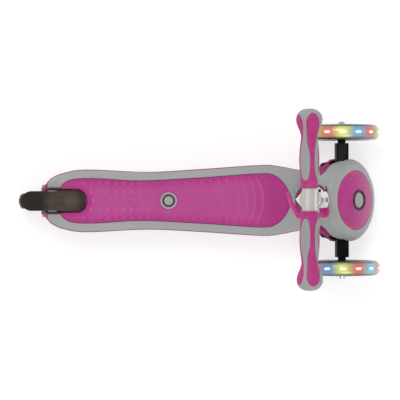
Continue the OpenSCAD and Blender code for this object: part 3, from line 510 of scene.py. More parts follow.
finishes = {
    # name: screen colour and how the surface differs from plain moulded plastic
    "magentaPlastic": ((168, 34, 116), dict(rough=0.40, coat=0.08)),
    "magentaGloss": ((180, 38, 128), dict(rough=0.36, coat=0.1, grain=1500, depth=0.00002, specular=0.35)),
    "magentaDark": ((96, 20, 66), dict(rough=0.5)),
    "clampMagenta": ((176, 20, 116), dict(rough=0.5, coat=0.04, grain=1500, specular=0.2)),
    # painted light: a paler copy of the magenta so the lever reads lit where the grips shade it
    "leverMagenta": ((196, 40, 136), dict(rough=0.4, coat=0.2, grain=1500, specular=0.3)),
    # painted shade: a darker copy of the deck's magenta for the nose's skirt under the cover's edge
    "skirtMagenta": ((150, 22, 100), dict(rough=0.55, specular=0.12, wear=0.1, dust=0.0)),
    # the zone colour is painted shade in the troughs between the ridges
    "ridgedCollar": ((150, 30, 100), dict(rough=0.5, zone=(48, 12, 34))),
    "greyPlastic": ((160, 163, 162), dict(rough=0.44, tone=0.06)),
    # its paler colour marks the dots' and ridges' crests: partly rubbed wear, partly painted highlight
    "padRubber": ((176, 44, 130), dict(rough=0.6, grain=1400, depth=0.00009, dust=0.03, tone=0.05, specular=0.35,
                                       wearAndPaintedLight=(225, 158, 206), wearAndPaintedLightShare=0.2)),
    # the fender's paler colour for its middle stretch; its ring and rib troughs stay dark as painted shade
    "darkPlastic": ((31, 27, 24), dict(rough=0.55, wear=0.1, specular=0.12, dust=0.01, wearAndPaintedLight=(104, 90, 82),
                                      wearAndPaintedLightShare=0.6)),
    "blackPlastic": ((11, 10, 9), dict(rough=0.5, wear=0.05, specular=0.12, dust=0.0, tone=0.3)),
    "blackRubber": ((24, 23, 22), dict(rough=0.7, specular=0.3)),
    "blackTyre": ((44, 40, 36), dict(rough=0.6, dust=0.2, wear=0.8)),
    "plumPlastic": ((52, 16, 40), dict(rough=0.4, wear=0.2, dust=0.01, specular=0.4)),
    "zincSteel": ((176, 178, 180), dict(rough=0.34, metal=1.0, grain=1800, wear=0.3)),
    "chromeBolt": ((205, 205, 206), dict(rough=0.16, metal=1.0, grain=2400, wear=0.2)),
    "bracketMetal": ((154, 157, 157), dict(rough=0.42, grain=1200, tone=0.06)),
    "whiteTube": ((196, 192, 187), dict(rough=0.28, coat=0.3, tone=0.04)),
    # its pale colour is painted highlight along the bar
    "barTube": ((184, 181, 175), dict(rough=0.3, coat=0.2, tone=0.05, wearAndPaintedLight=(246, 245, 240), wearAndPaintedLightShare=0.9)),
    "silverTube": ((190, 189, 186), dict(rough=0.34, metal=0.45, brushed=True, tone=0.1)),
    "whitePlastic": ((228, 226, 222), dict(rough=0.4, tone=0.04)),
    "gripRubber": ((176, 40, 122), dict(rough=0.55, grain=1600, depth=0.00008, specular=0.4,
                                        zone=(152, 154, 152))),
    "lightRing": ((226, 226, 220), dict(rough=0.35, tone=0.05)),
    "labelGrey": ((132, 134, 134), dict(rough=0.5)),
    "labelDark": ((120, 44, 66), dict(rough=0.5)),
}
look = {name: moulded(name, colour, **more) for name, (colour, more) in finishes.items()}


def makeGlowMaterial(name, axle, halfWidth, phase, colours, settings):
    # clear tyre lit from inside: the angle round the axle picks a lamp, the colours of neighbouring lamps run into
    # each other, a pale pill marks each lamp, and the sides darken to smoky green
    material, t, shader, place = startMaterial(name)
    split = t.add("ShaderNodeSeparateXYZ")
    t.join(place, split.inputs[0])
    x = t.sum("SUBTRACT", split.outputs["X"], axle[0] * mm)
    z = t.sum("SUBTRACT", split.outputs["Z"], axle[2] * mm)
    side = t.sum("ABSOLUTE", t.sum("SUBTRACT", split.outputs["Y"], axle[1] * mm))
    turn = t.sum("DIVIDE", t.sum("ARCTAN2", z, x), 2 * math.pi)
    lamp = t.sum("ADD", t.sum("MULTIPLY", turn, float(settings["lamps"])), phase + 2 * settings["lamps"])
    ramp = t.add("ShaderNodeValToRGB")
    t.join(t.sum("FRACT", t.sum("DIVIDE", lamp, float(len(colours)))), ramp.inputs["Fac"])
    # each colour holds for some way round its lamp before it runs into the next
    hold, count = settings["hold"], len(colours)
    stops = [(0.0, colours[0]), (hold / count, colours[0])]
    for i in range(1, count):
        stops += [((i - hold) / count, colours[i]), ((i + hold) / count, colours[i])]
    stops += [(1 - hold / count, colours[0]), (1.0, colours[0])]
    ramp.color_ramp.elements[0].position, ramp.color_ramp.elements[1].position = 0.0, 1.0
    for _ in range(len(stops) - 2):
        ramp.color_ramp.elements.new(0.5)
    for element, (at, c) in zip(ramp.color_ramp.elements, stops):
        element.position, element.color = at, linear(c)
    along = t.sum("ABSOLUTE", t.sum("SUBTRACT", t.sum("FRACT", t.sum("ADD", lamp, 0.5)), 0.5))
    arc = t.sum("MULTIPLY", along, settings["pitch"] * mm)
    reach = t.sum("MAXIMUM", t.sum("SUBTRACT", arc, settings["pillHalf"] * mm), 0.0)
    far = t.sum("SQRT", t.sum("ADD", t.sum("MULTIPLY", reach, reach), t.sum("MULTIPLY", side, side)))
    pill = t.sum("SUBTRACT", 1.0, t.band(far, *settings["pillSoft"]))
    halo = t.sum("SUBTRACT", 1.0, t.band(far, *settings["haloSoft"]))
    cloud = t.noise(place, 130.0, 3.0, 0.6)
    inner, outer = (halfWidth * mm * share for share in settings["smoke"])
    smoke = t.band(t.sum("ADD", side, t.sum("MULTIPLY", cloud, 0.002)), inner, outer)
    body = t.mix(settings["milkShare"], ramp.outputs["Color"], linear(settings["milk"]))
    body = t.mix(t.sum("MULTIPLY", halo, 0.5), body, ramp.outputs["Color"])
    body = t.mix(smoke, body, linear(settings["edge"]))
    body = t.mix(pill, body, linear(settings["pill"]))
    t.join(body, shader.inputs["Base Color"])
    glow = t.mix(smoke, ramp.outputs["Color"], (0.02, 0.02, 0.015, 1))
    glow = t.mix(t.sum("SUBTRACT", 1.0, t.sum("MULTIPLY", halo, 0.85)), glow, (0, 0, 0, 1))
    glow = t.mix(pill, glow, (1, 0.97, 0.92, 1))
    t.join(glow, shader.inputs["Emission Color"])
    shader.inputs["Emission Strength"].default_value = settings["glow"]
    worn = useGroup(t, wearGroup, Vector=place, Amount=0.5)
    t.join(t.sum("ADD", t.sum("MULTIPLY", worn.outputs["Scuff"], 0.3), 0.2, clamp=True), shader.inputs["Roughness"])
    bump = t.add("ShaderNodeBump")
    bump.inputs["Strength"].default_value = 0.3
    bump.inputs["Distance"].default_value = 0.0002
    t.join(t.noise(place, 300.0, 3.0, 0.6), bump.inputs["Height"])
    t.join(bump.outputs["Normal"], shader.inputs["Normal"])
    shader.inputs["Coat Weight"].default_value = settings["coat"]
    shader.inputs["Coat Roughness"].default_value = settings["coatRough"]
    return material


print("finishes are made")

padSettings = {
    "line": [(-221.75, 21), (-217.75, 27), (-206.75, 32.8), (-190.75, 35), (-162.75, 35), (-95.75, 31.5),
             (-1.75, 36.05), (93.25, 42.5), (117.25, 38.1), (131.25, 25.5), (138.75, 12.5), (142.25, 5)],
    "notchFront": -181.05, "notchHalf": 18.0, "notchCorner": 15.2,
    "dotPitch": 12.6, "dotRadius": (2.5, 3.9), "dotHeight": 0.8,
    "dotRows": [(-26.4, -186.0), (-13.8, -174.6), (0.0, -170.9), (13.8, -174.6), (26.4, -186.0)],
    "dotEnd": -70.0,
    "ridges": [-19.3, -5.9, 7.0, 21.0, 34.5, 47.5, 60.0, 72.5, 84.8, 96.9],
    "ridgeRadius": 66.0, "ridgeHalf": 1.25, "ridgeHeight": 0.55,
    "roll": 1.1, "step": 0.72, "inset": 0.8, "columns": 60,
    "calm": (1.6, 4.5),                     # marks fade in over this distance from the edge
    "dotFade": 0.55, "dotFadeFrom": -120,
    "ridgeReach": (30, 37, 0.2), "ridgeLeast": 0.55,
    # the tread's middle is coloured paler over this stretch and away from the edge
    "worn": 0.5, "wornFrom": (62, 118), "wornEdge": (2, 16),
    "seat": (1.3, 13.35, 14.0),             # the badge's seat: depth, inner and outer radius of its edge
}


def padNotch(x, s):
    # half width of the fender's notch at x: straight, then a quarter circle, then nothing
    r, front, w = s["notchCorner"], s["notchFront"], s["notchHalf"]
    t = np.clip(x - (front - r), 0, r)
    return np.where(x < front, w - r + np.sqrt(r * r - t * t), 0)


def padHeight(x, y, s, outline):
    # top of the pad less the rolled edge, plus round dots in staggered rows and arcs that bulge forward
    d = edgeDistance(x, y, outline)
    inner = between(d, *s["calm"])
    rise = np.zeros_like(x)
    for rowY, start in s["dotRows"]:
        k = np.clip(np.round((x - start) / s["dotPitch"]), 0, (s["dotEnd"] - start) // s["dotPitch"])
        r = np.hypot((x - start - k * s["dotPitch"]) / s["dotRadius"][0], (y - rowY) / s["dotRadius"][1])
        fade = 1 - s["dotFade"] * between(start + k * s["dotPitch"], s["dotFadeFrom"], s["dotEnd"])
        rise = np.maximum(rise, s["dotHeight"] * fade * np.sqrt(np.clip(1 - r * r, 0, 1)))
    for i, at in enumerate(s["ridges"]):
        r = np.hypot(x - (at - s["ridgeRadius"]), y) - s["ridgeRadius"]
        ahead = (x > at - s["ridgeRadius"])
        full, none, grow = s["ridgeReach"]
        reach = 1 - between(np.abs(y), full, none + grow * i)
        share = s["ridgeLeast"] + (1 - s["ridgeLeast"]) * i / (len(s["ridges"]) - 1)
        h = s["ridgeHeight"] * share * reach * ahead
        # a soft step: a steep front and a long back
        rise = np.maximum(rise, h * np.exp(-np.where(r > 0, r / 0.9, r / s["ridgeHalf"] / 1.6)**2))
    # the tread's middle is coloured a little paler than the plain front
    worn = s["worn"] * (1 - between(x, *s["wornFrom"])) * between(d, *s["wornEdge"])
    # crests of the dots and ridges are painted paler: partly rubbed wear, partly painted highlight
    pale = np.clip(rise * inner / s["ridgeHeight"], 0, 1) * (1 - 0.45 * between(np.abs(y), 18, 25) * (x < -70))
    return rise * inner - edgeRoll(d, s["roll"]), np.maximum(pale, worn)


def makePad(s):
    top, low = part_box("deck_pad")[1][2] / mm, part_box("deck_pad")[0][2] / mm
    line = smoothed(s["line"])
    x0, x1 = line[0, 0], line[-1, 0]
    xs = np.concatenate([np.arange(x0, s["notchFront"], s["step"]), [s["notchFront"] - 1e-3],
                         np.arange(s["notchFront"], x1, s["step"]), [x1]])
    outer = np.interp(xs, line[:, 0], line[:, 1]) - s["inset"]
    innerY = padNotch(xs, s)
    v = np.linspace(0, 1, s["columns"])[None, :]
    y = innerY[:, None] + v * (outer - innerY)[:, None]
    x = np.repeat(xs[:, None], y.shape[1], 1)
    half = np.stack([xs, outer], -1)
    behind = xs < s["notchFront"]
    notch = np.stack([xs[behind], innerY[behind]], -1)
    outline = np.concatenate([half, (half * (1, -1))[::-1], notch * (1, -1), notch[::-1]])
    lift, rise = padHeight(x, y, s, outline)
    z = top + lift
    badge = centreOf("deck_badge")
    sink, seatIn, seatOut = s["seat"]
    z = z - sink * (1 - between(np.hypot(x - badge[0], y), seatIn, seatOut))
    sheets = []
    for side in (1, -1):
        sheets.append((np.stack([x, side * y, z], -1), False, False, 0))
    rim = np.stack([outline[:, 0], outline[:, 1], np.full(len(outline), top - s["roll"])], -1)
    foot = rim * (1, 1, 0) + (0, 0, low)
    sheets.append((np.stack([rim, foot]), False, True, 0))
    for side in (1, -1):
        under = np.stack([np.stack([xs, side * innerY, np.full_like(xs, low)], -1),
                          np.stack([xs, side * outer, np.full_like(xs, low)], -1)], 1)
        sheets.append((under, False, False, 0))
    flat = sum(g.shape[0] * g.shape[1] for g, *_ in sheets[2:])
    values = {"rise": np.concatenate([rise.ravel(), rise.ravel(), np.zeros(flat)])}
    return makePiece("standingPad", sheets, [look["padRubber"]], "deck", ["deck_pad"],
                     sharp=60, values=values)


makePad(padSettings)

badgeSettings = {"outer": 13.3, "ringIn": 10.2, "discR": 6.9, "grooveDeep": 1.6, "discTop": -0.4}


def makeBadge(s):
    centre = centreOf("deck_badge")
    top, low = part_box("deck_badge")[1][2] / mm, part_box("deck_badge")[0][2] / mm
    base = (np.array((centre[0], 0, top)), np.eye(3))
    ring = rounded([(s["ringIn"], -s["grooveDeep"]), (s["ringIn"], 0), (s["outer"], 0),
                    (s["outer"], low - top)], 0.6)
    groove = np.array([(s["discR"], -s["grooveDeep"]), (s["ringIn"], -s["grooveDeep"])])
    t = np.linspace(0, 1, 7)[:, None]
    dome = np.concatenate([s["discR"] * t, s["discTop"] - 0.5 * t**2], 1)
    disc = rounded(np.concatenate([dome, [(s["discR"], -s["grooveDeep"])]]), 0.4, 3)
    foot = np.array([(s["outer"], low - top), (0, low - top)])
    sheets = [(turned(ring, base), False, True, 0), (turned(groove, base), False, True, 1),
              (turned(disc, base), False, True, 0), (turned(foot, base), False, True, 0)]
    return makePiece("padBadge", sheets, [look["greyPlastic"], look["magentaDark"]], "deck",
                     ["deck_badge"])


makeBadge(badgeSettings)

noseSettings = {"discR": 47.0, "discIn": 17.1, "dome": 7.5, "rim": 26.5, "skirt": 7.5, "lean": 4.6, "step": (4.2, 0.35),
                "collarIn": 12.9, "collarOut": 17.1, "button": 12.5, "buttonTop": 34.1}


def makeNose(s):
    r = np.concatenate([np.linspace(s["discIn"], s["discR"] - 1.6, 26), s["discR"] - np.array([1.0, 0.5, 0.15, 0])])
    h = s["rim"] + s["dome"] * (1 - (r / s["discR"])**2) - np.concatenate([np.zeros(26), [0.05, 0.15, 0.35, 0.8]])
    # a shallow moulded step near the rim
    stepIn, stepDeep = s["step"]
    h = h - stepDeep * (1 - between(np.abs(r - (s["discR"] - stepIn)), 0.2, 0.8))
    face = np.stack([r, h], -1)
    edge = [(s["discR"], s["rim"] - s["skirt"]), (s["discR"] - 3, s["rim"] - s["skirt"]),
            (s["discR"] - 3, s["rim"] - 3), (s["discIn"], s["rim"] - 3), (s["discIn"], face[0, 1])]
    # the plate reaches further up the nose than down: its upper half is stretched along local X
    shape = turned(np.concatenate([face, edge]), level, 128)
    high = np.clip(-shape[..., 0] / s["discR"], 0, 1)
    shape[..., 0] -= s["lean"] * high**2 * (3 - 2 * high)
    makePiece("noseDisc", [(placed(shape, steerFrame), False, True, 0)],
              [look["magentaGloss"]], "deck", ["nose_disc"])
    collar = rounded([(s["collarIn"], s["rim"] - 3), (s["collarIn"], s["rim"] + 7.4),
                      (s["collarOut"] - 1.2, s["rim"] + 8.2), (s["collarOut"], s["rim"] + 6.6),
                      (s["collarOut"], s["rim"] - 3), (s["collarIn"] + 0.01, s["rim"] - 3)], 0.8)
    makePiece("lockCollar", [(turned(collar, steerFrame), False, True, 0)],
              [look["plumPlastic"]], "deck", ["lock_collar"])
    b, top = s["button"], s["buttonTop"]
    cap = np.concatenate([[(0, top - 0.75), (3.0, top - 0.72), (6.6, top - 0.62), (7.2, top - 0.1)],
                          [(8.6, top - 0.15)],
                          rounded([(9.5, top - 0.35), (b - 0.2, top - 0.9), (b, s["rim"])], 1.2)])
    stem = [(b, s["rim"]), (3.5, s["rim"]), (3.5, 17.4), (0, 17.4)]
    makePiece("lockButton", [(turned(np.concatenate([cap, stem]), steerFrame), False, True, 0)],
              [look["greyPlastic"]], "steering_lock", ["lock_button"])


makeNose(noseSettings)
print("pad and nose are made")

tyreSettings = {"crown": 9.5, "bore": 46.0, "lamps": 15, "pitch": 25.3, "pillHalf": 2.9,
                "colours": {"left": [(214, 74, 52), (150, 206, 80), (212, 72, 62), (60, 156, 206), (222, 222, 96)],
                            "right": [(58, 120, 196), (212, 72, 60), (86, 192, 222), (214, 74, 52), (206, 222, 92)]},
                "phase": {"left": -0.10, "right": -0.12},
                "pillSoft": (0.0005, 0.0032), "haloSoft": (0.001, 0.0085), "pill": (250, 246, 236),
                "milk": (196, 192, 170), "milkShare": 0.30, "smoke": (0.62, 0.98), "edge": (40, 46, 44),
                "glow": 0.27, "hold": 0.24, "coat": 0.6, "coatRough": 0.08, "steps": 144}
rearTyreSettings = {"crown": 7.5, "bore": 28.0, "groove": 0.7, "steps": 120}


def tyreProfile(radius, width, bore, crown, groove=0.0):
    # bead, side wall and a half ellipse of crown: r = R - c + c sin a, y = -w/2 cos a
    a = np.linspace(0, np.pi, 33)
    arc = np.stack([radius - crown + crown * np.sin(a), -width / 2 * np.cos(a)], -1)
    if groove:
        arc[:, 0] -= groove * (1 - between(np.abs(np.abs(arc[:, 1]) - width * 0.22), 0.25, 0.9))
    low = rounded([(bore, -width / 2 + 1.5), (bore + 1.0, -width / 2 + 0.2), (bore + 1.8, -width / 2)], 0.6)
    return np.concatenate([low, arc, (low * (1, -1))[::-1]])


def makeTyres(s):
    for side, name in ((1, "left"), (-1, "right")):
        node = f"tyre_{name}"
        axle, half = centreOf(node), halfOf(node)
        profile = tyreProfile(half[0], 2 * half[1], s["bore"], s["crown"])
        glow = makeGlowMaterial(f"clearTyre{name.capitalize()}", axle, half[1], s["phase"][name],
                                s["colours"][name], s)
        bore = np.array([profile[-1], profile[0]])
        sheets = [(turned(profile, axleFrame(axle), s["steps"]), False, True, 0),
                  (turned(bore, axleFrame(axle), s["steps"]), False, True, 0)]
        makePiece(f"glowTyre{name.capitalize()}", sheets, [glow], f"wheel_{name}", [node])


def makeRearTyre(s):
    half = halfOf("rear_tyre")
    profile = tyreProfile(half[0], 2 * half[1], s["bore"], s["crown"], s["groove"])
    sheets = [(turned(profile, axleFrame(rearAxle), s["steps"]), False, True, 0),
              (turned(np.array([profile[-1], profile[0]]), axleFrame(rearAxle), s["steps"]), False, True, 0)]
    makePiece("rearTyre", sheets, [look["blackTyre"]], "wheel_rear", ["rear_tyre"])


makeTyres(tyreSettings)
makeRearTyre(rearTyreSettings)
print("wheels are made")

fenderSettings = {"radius": 48.0, "half": 15.4, "frontHalf": 16.8, "from": 146.0, "to": 66.0,
                  "tailReach": 14.5, "corner": 14.0, "roll": 4.2, "wall": 1.7,
                  "ring": (45.6, 6.3), "ribs": (55.6, 3.2, 7), "ribHigh": 0.7, "skirt": 15.5,
                  "arcSteps": 60, "rows": 200, "columns": 61, "crossFall": 0.9, "paleStretch": (36, 60), "plain": 0.12}


def fenderPath(s):
    # side view from the tail round the wheel and down to the hinge, evenly spaced
    a = np.radians(np.linspace(s["from"], s["to"], s["arcSteps"]))
    arc = np.stack([rearAxle[0] + s["radius"] * np.cos(a), rearAxle[2] + s["radius"] * np.sin(a)], -1)
    end, top = arc[-1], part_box("deck_rim")[1][2] / mm
    front = smoothed([tuple(end), (end[0] + 8, end[1] - 2.6), (end[0] + 18, end[1] - 4.9), (end[0] + 30, top + 7.5),
                      (end[0] + 39, top + 6.0), (-182.4, top + 4.4)], 8)[1:]
    path = np.concatenate([arc, front])
    run = np.concatenate([[0], np.cumsum(np.linalg.norm(np.diff(path, axis=0), axis=1))])
    return path, run


def makeFender(s):
    # the tray is laid out flat as (length along the path, distance across), its height above the path is the rolled
    # edge and the moulded marks, and its skirt drops along the path's own normal
    path, run = fenderPath(s)
    length = run[-1]
    t = np.linspace(0, 1, s["rows"])
    along = length * (0.5 - 0.5 * np.cos(np.pi * t))**0.8
    ahead = np.interp(along, run, path[:, 0]) - path[0, 0]
    tail = s["half"] * np.sqrt(np.clip(1 - (1 - np.clip(ahead / s["tailReach"], 0, 1))**2, 0, 1))
    wide = tail + (s["frontHalf"] - s["half"]) * between(along, length - 48, length - 30)
    c = np.clip(along - (length - s["corner"]), 0, s["corner"])
    wide = np.where(along > length - s["corner"],
                    s["frontHalf"] - s["corner"] + np.sqrt(s["corner"]**2 - c**2), wide)
    centre = np.stack([np.interp(along, run, path[:, 0]), np.interp(along, run, path[:, 1])], -1)
    step = np.gradient(centre, along, axis=0)
    step /= np.linalg.norm(step, axis=1)[:, None]
    normal = np.stack([-step[:, 1], step[:, 0]], -1)
    v = np.linspace(-1, 1, s["columns"])[None, :]
    y = v * wide[:, None]
    runAt = np.repeat(along[:, None], s["columns"], 1)
    outline = np.concatenate([np.stack([along, wide], -1), np.stack([along, -wide], -1)[::-1]])
    d = edgeDistance(runAt, y, outline)
    corner = s["roll"] * (0.35 + 0.65 * between(runAt, 0, 30))
    lift = -edgeRoll(d, corner) - s["crossFall"] * (y / s["half"])**2
    ringAt, ringR = s["ring"]
    r = np.hypot(runAt - ringAt, y)
    ringLine = np.exp(-((r - ringR) / 0.6)**2)
    lift = lift - 0.4 * (1 - between(r, ringR - 0.5, ringR)) - 0.5 * ringLine
    ribAt, ribPitch, ribCount = s["ribs"]
    k = np.clip(np.round((runAt - ribAt) / ribPitch), 0, ribCount - 1)
    rib = np.exp(-((runAt - ribAt - k * ribPitch) / 0.75)**2) * (1 - between(np.abs(y), 6.0, 7.2))
    lift = lift + s["ribHigh"] * rib
    # the middle stretch is coloured browner and paler; the ring and the troughs between the ribs are kept dark as
    # painted shade
    ribEnd = ribAt + ribPitch * ribCount
    trough = between(runAt, ribAt - 2, ribAt) * (1 - between(runAt, ribEnd - ribPitch, ribEnd))
    trough = trough * (1 - between(np.abs(y), 6.5, 8)) * (1 - rib)
    pale = between(runAt, *s["paleStretch"]) * (1 - 0.75 * between(runAt, length - 22, length - 6))
    pale = pale * (0.75 + 0.25 * np.cos(y / 5)) * (1 - 0.55 * np.clip(ringLine + trough, 0, 1)) + s["plain"]

    def spread(points, heights):
        # from the flat layout to space: path point plus height along the normal
        at, out = (np.stack([np.interp(points[..., 0], along, path2d[:, k]) for k in (0, 1)], -1)
                   for path2d in (centre, normal))
        p = at + out * heights[..., None]
        return np.stack([p[..., 0], points[..., 1], p[..., 1]], -1)

    topGrid = spread(np.stack([runAt, y], -1), lift)
    edgeLift = np.concatenate([lift[:, -1], lift[::-1, 0]])
    # the skirt is deep beside the tyre, shallow at the tail and reaches the pad's notch in front
    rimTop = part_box("deck_rim")[1][2] / mm
    flat = outline[:, 0]
    high = np.interp(flat, along, centre[:, 1])
    depth = np.where(flat < run[s["arcSteps"] - 1], s["skirt"] * between(flat, 5.0, 20.0) + 3.4,
                     np.maximum(high - rimTop + 1.5, s["roll"] + 1.0))
    depth = np.minimum(depth, s["skirt"] + 0.2)
    levels = np.linspace(0, 1, 6)[:, None]
    skirt = spread(np.repeat(outline[None], 6, 0), edgeLift[None] + (-depth - edgeLift)[None] * levels)
    piece = makePiece("brakeFender", [(topGrid, False, False, 0), (skirt, False, True, 0)], [look["darkPlastic"]],
                      "brake", ["brake_fender"], sharp=60,
                      values={"rise": np.concatenate([pale.ravel(), np.full(skirt.shape[0] * skirt.shape[1], 0.1)])})
    thick = piece.modifiers.new("wall", "SOLIDIFY")
    thick.thickness, thick.offset = s["wall"] * mm, -1.0
    thick.use_even_offset = True
    return piece


makeFender(fenderSettings)

gripSettings = {
    "line": [(15.5, 11.6), (17.2, 12.5), (20.5, 12.2), (24.5, 12.3), (40.5, 13.4), (54.5, 14.0), (68.5, 13.3),
             (81.3, 11.8), (87.3, 11.5), (94.3, 13.5), (101.3, 16.5), (108.3, 18.0),
             (115.3, 16.8), (120.8, 12.4), (123.5, 6.5), (124.2, 0.0)],
    # distance along the bar: left and right edge of the tongue, edge of the rear stripe, edge of the front stripe
    "edges": [(20.0, -12, 13, 0.0, 12.0), (25.6, -6.4, 11.6, -5.8, 12.6), (26.4, -4.7, 11.4, -7.7, 12.7),
              (28.0, -3.0, 10.7, -9.4, 12.8), (30.4, -1.5, 9.8, -10.5, 12.8), (35.6, -0.6, 8.1, -11.4, 12.6),
              (43.8, 0.3, 7.2, -12.4, 12.3), (52.8, 0.4, 7.2, -12.8, 12.5), (60.3, 0.3, 7.2, -12.5, 12.4),
              (69.1, -1.6, 7.9, -11.9, 12.9), (77.2, -3.4, 9.0, -10.4, 20), (85.4, -3.7, 11.3, -9.1, 20),
              (93.5, -4.2, 13.2, -8.9, 20), (101.6, -5.0, 13.9, -9.0, 20), (107.0, -4.8, 13.6, -9.9, 20),
              (111.5, -3.2, 12.2, -11.6, 20), (115.0, -0.8, 9.9, -13.6, 20), (117.2, 1.8, 7.2, -17, 20),
              (118.3, 4.3, 4.5, -20, 20), (119.5, 5.5, 3, -20, 20)],
    "collar": 22.5, "seam": 0.4, "bore": 8.2, "steps": 128,
    "stripes": (128, 104), "frontStripe": (30, 74), "end": 118.2,   # degrees round the bar, then distances along it
}


def gripZone(r, a, y, s):
    # how far inside the coloured inlay a point lies, in mm along the surface; negative is the grey sleeve
    table = smoothed(s["edges"], 8)
    left, right, rear, front = (np.interp(y, table[:, 0], table[:, k]) for k in (1, 2, 3, 4))
    safe = np.maximum(r, 1.0)

    def angle(offset):
        return np.arcsin(np.clip(offset / safe, -1, 1))

    tongue = np.minimum(a - angle(left), angle(right) - a) * safe
    rearStripe = np.minimum(a + np.radians(s["stripes"][0]), angle(rear) - a) * safe
    frontStripe = np.minimum(a - angle(front), np.radians(s["stripes"][1]) - a) * safe
    frontStripe = np.where((front < 19) & (y > s["frontStripe"][0]) & (y < s["frontStripe"][1]), frontStripe, -9)
    rearStripe = np.where(rear > -19, rearStripe, -9)
    end = np.where(y > s["end"], s["end"] - y, 9.0)
    zone = np.maximum(np.maximum(tongue, rearStripe), frontStripe)
    return np.maximum(np.minimum(zone, end), s["collar"] - y)


def makeGrips(s):
    line = smoothed(s["line"], 12)
    y, r = line[:, 0][:, None], np.maximum(line[:, 1], 0)[:, None]
    lookAngle = math.radians(cameraSettings["tilt"]) + math.atan2(columnUp[0], columnUp[2])
    turn = np.linspace(-np.pi, np.pi, s["steps"], endpoint=False)[None, :]
    seen = (turn + lookAngle + np.pi) % (2 * np.pi) - np.pi
    zone = gripZone(np.repeat(r, s["steps"], 1), seen, np.repeat(y, s["steps"], 1), s)
    groove = s["seam"] * np.exp(-(zone / 0.55)**2)
    swell = 0.25 * between(-zone, 0.0, 1.2) - 0.2
    radius = np.maximum(r - (groove - swell) * between(r, 2.0, 8.0), 0)
    for side, name in ((1, "left"), (-1, "right")):
        grid = np.stack([radius * np.sin(turn), side * (y + 0 * turn), radius * np.cos(turn)], -1)
        inner = np.stack([s["bore"] * np.sin(turn[0]), side * (y[0] + 0 * turn[0]), s["bore"] * np.cos(turn[0])], -1)
        face = np.stack([grid[0], inner])
        values = {"zone": np.concatenate([zone.ravel(), np.full(face.shape[0] * s["steps"], 5.0)])}
        sheets = [(placed(grid, barFrame), False, True, 0), (placed(face, barFrame), False, True, 0)]
        makePiece(f"{name}Grip", sheets, [look["gripRubber"]], "handlebar",
                  [f"grip_core_{name}", f"grip_sleeve_{name}"], values=values)


makeGrips(gripSettings)
print("fender and grips are made")

clampSettings = {
    "seat": 300.0, "top": 305.0, "low": 260.0, "stemR": 13.8, "tubeR": 15.1,
    "flange": 21.3, "wideFlange": 24.4, "wideFrom": -27.0, "wideTo": 30.0,
    "apex": (-23.6, 0.8), "corner": (-11.6, 14.5),
    "outer": 24.5, "gap": 0.35, "teeth": 36, "arcs": [(122.0, 238.0), (30.0, 76.0)],
    # x from and to, y from and to, finish
    "labels": [(12.6, 16.5, -3.5, 3.2, "labelGrey"), (17.6, 18.5, -3.4, 3.2, "labelGrey"),
               (20.3, 23.6, -3.4, 3.2, "labelDark")],
    "plug": (9.6, 13.2, 11.2, 15.6),
    "lever": [(-15.3, -26.4, 0.3), (-16.4, -24.9, 4.4), (-18.5, -21.6, 5.8), (-22.9, -16.6, 4.1), (-27.0, -10.2, 3.6),
              (-30.6, -3.0, 3.0), (-33.3, 4.0, 2.4), (-35.0, 10.2, 1.7), (-35.6, 12.0, 0.2)],
    "leverLow": 276.6, "leverTop": 297.8, "leverSquare": 0.32, "leverTaper": 0.28,
    "nutAt": (-16.4, 291.4), "nutHalf": (10.3, 15.2), "nutFrom": 11.0, "nutTo": 26.2, "nutStraight": 0.42,
}


def flangeReach(a, s):
    # radius of the flange at an angle: a circle, a wider front, and a straight-sided point behind
    ahead = (a + np.pi) % (2 * np.pi) - np.pi
    wide = between(ahead, math.radians(s["wideFrom"] - 4), math.radians(s["wideFrom"])) * (
        1 - between(ahead, math.radians(s["wideTo"]), math.radians(s["wideTo"] + 4)))
    reach = s["flange"] + (s["wideFlange"] - s["flange"]) * wide
    (ax, ay), (bx, by) = s["apex"], s["corner"]
    for sign in (1, -1):
        # where a ray from the centre meets the straight line from the apex to the corner
        dx, dy = bx - ax, sign * by - ay
        along = (ax * dy - ay * dx) / (np.cos(a) * dy - np.sin(a) * dx + 1e-9)
        first, last = math.atan2(sign * by, bx) % (2 * np.pi), math.atan2(ay, ax) % (2 * np.pi)
        inside = (a >= min(first, last)) & (a <= max(first, last))
        reach = np.where(inside, along, reach)
    return reach


def blocks(plates, low, high, base):
    # one closed box for each plate, as four-sided loops that shrink to a point at both ends
    out = []
    for x0, x1, y0, y1 in plates:
        ring = np.array([(x0, y0), (x1, y0), (x1, y1), (x0, y1)])
        middle = np.repeat(ring.mean(0)[None], 4, 0)
        loops = [np.c_[middle, np.full(4, low)], np.c_[ring, np.full(4, low)],
                 np.c_[ring, np.full(4, high)], np.c_[middle, np.full(4, high)]]
        out.append(placed(np.stack(loops), base))
    return out


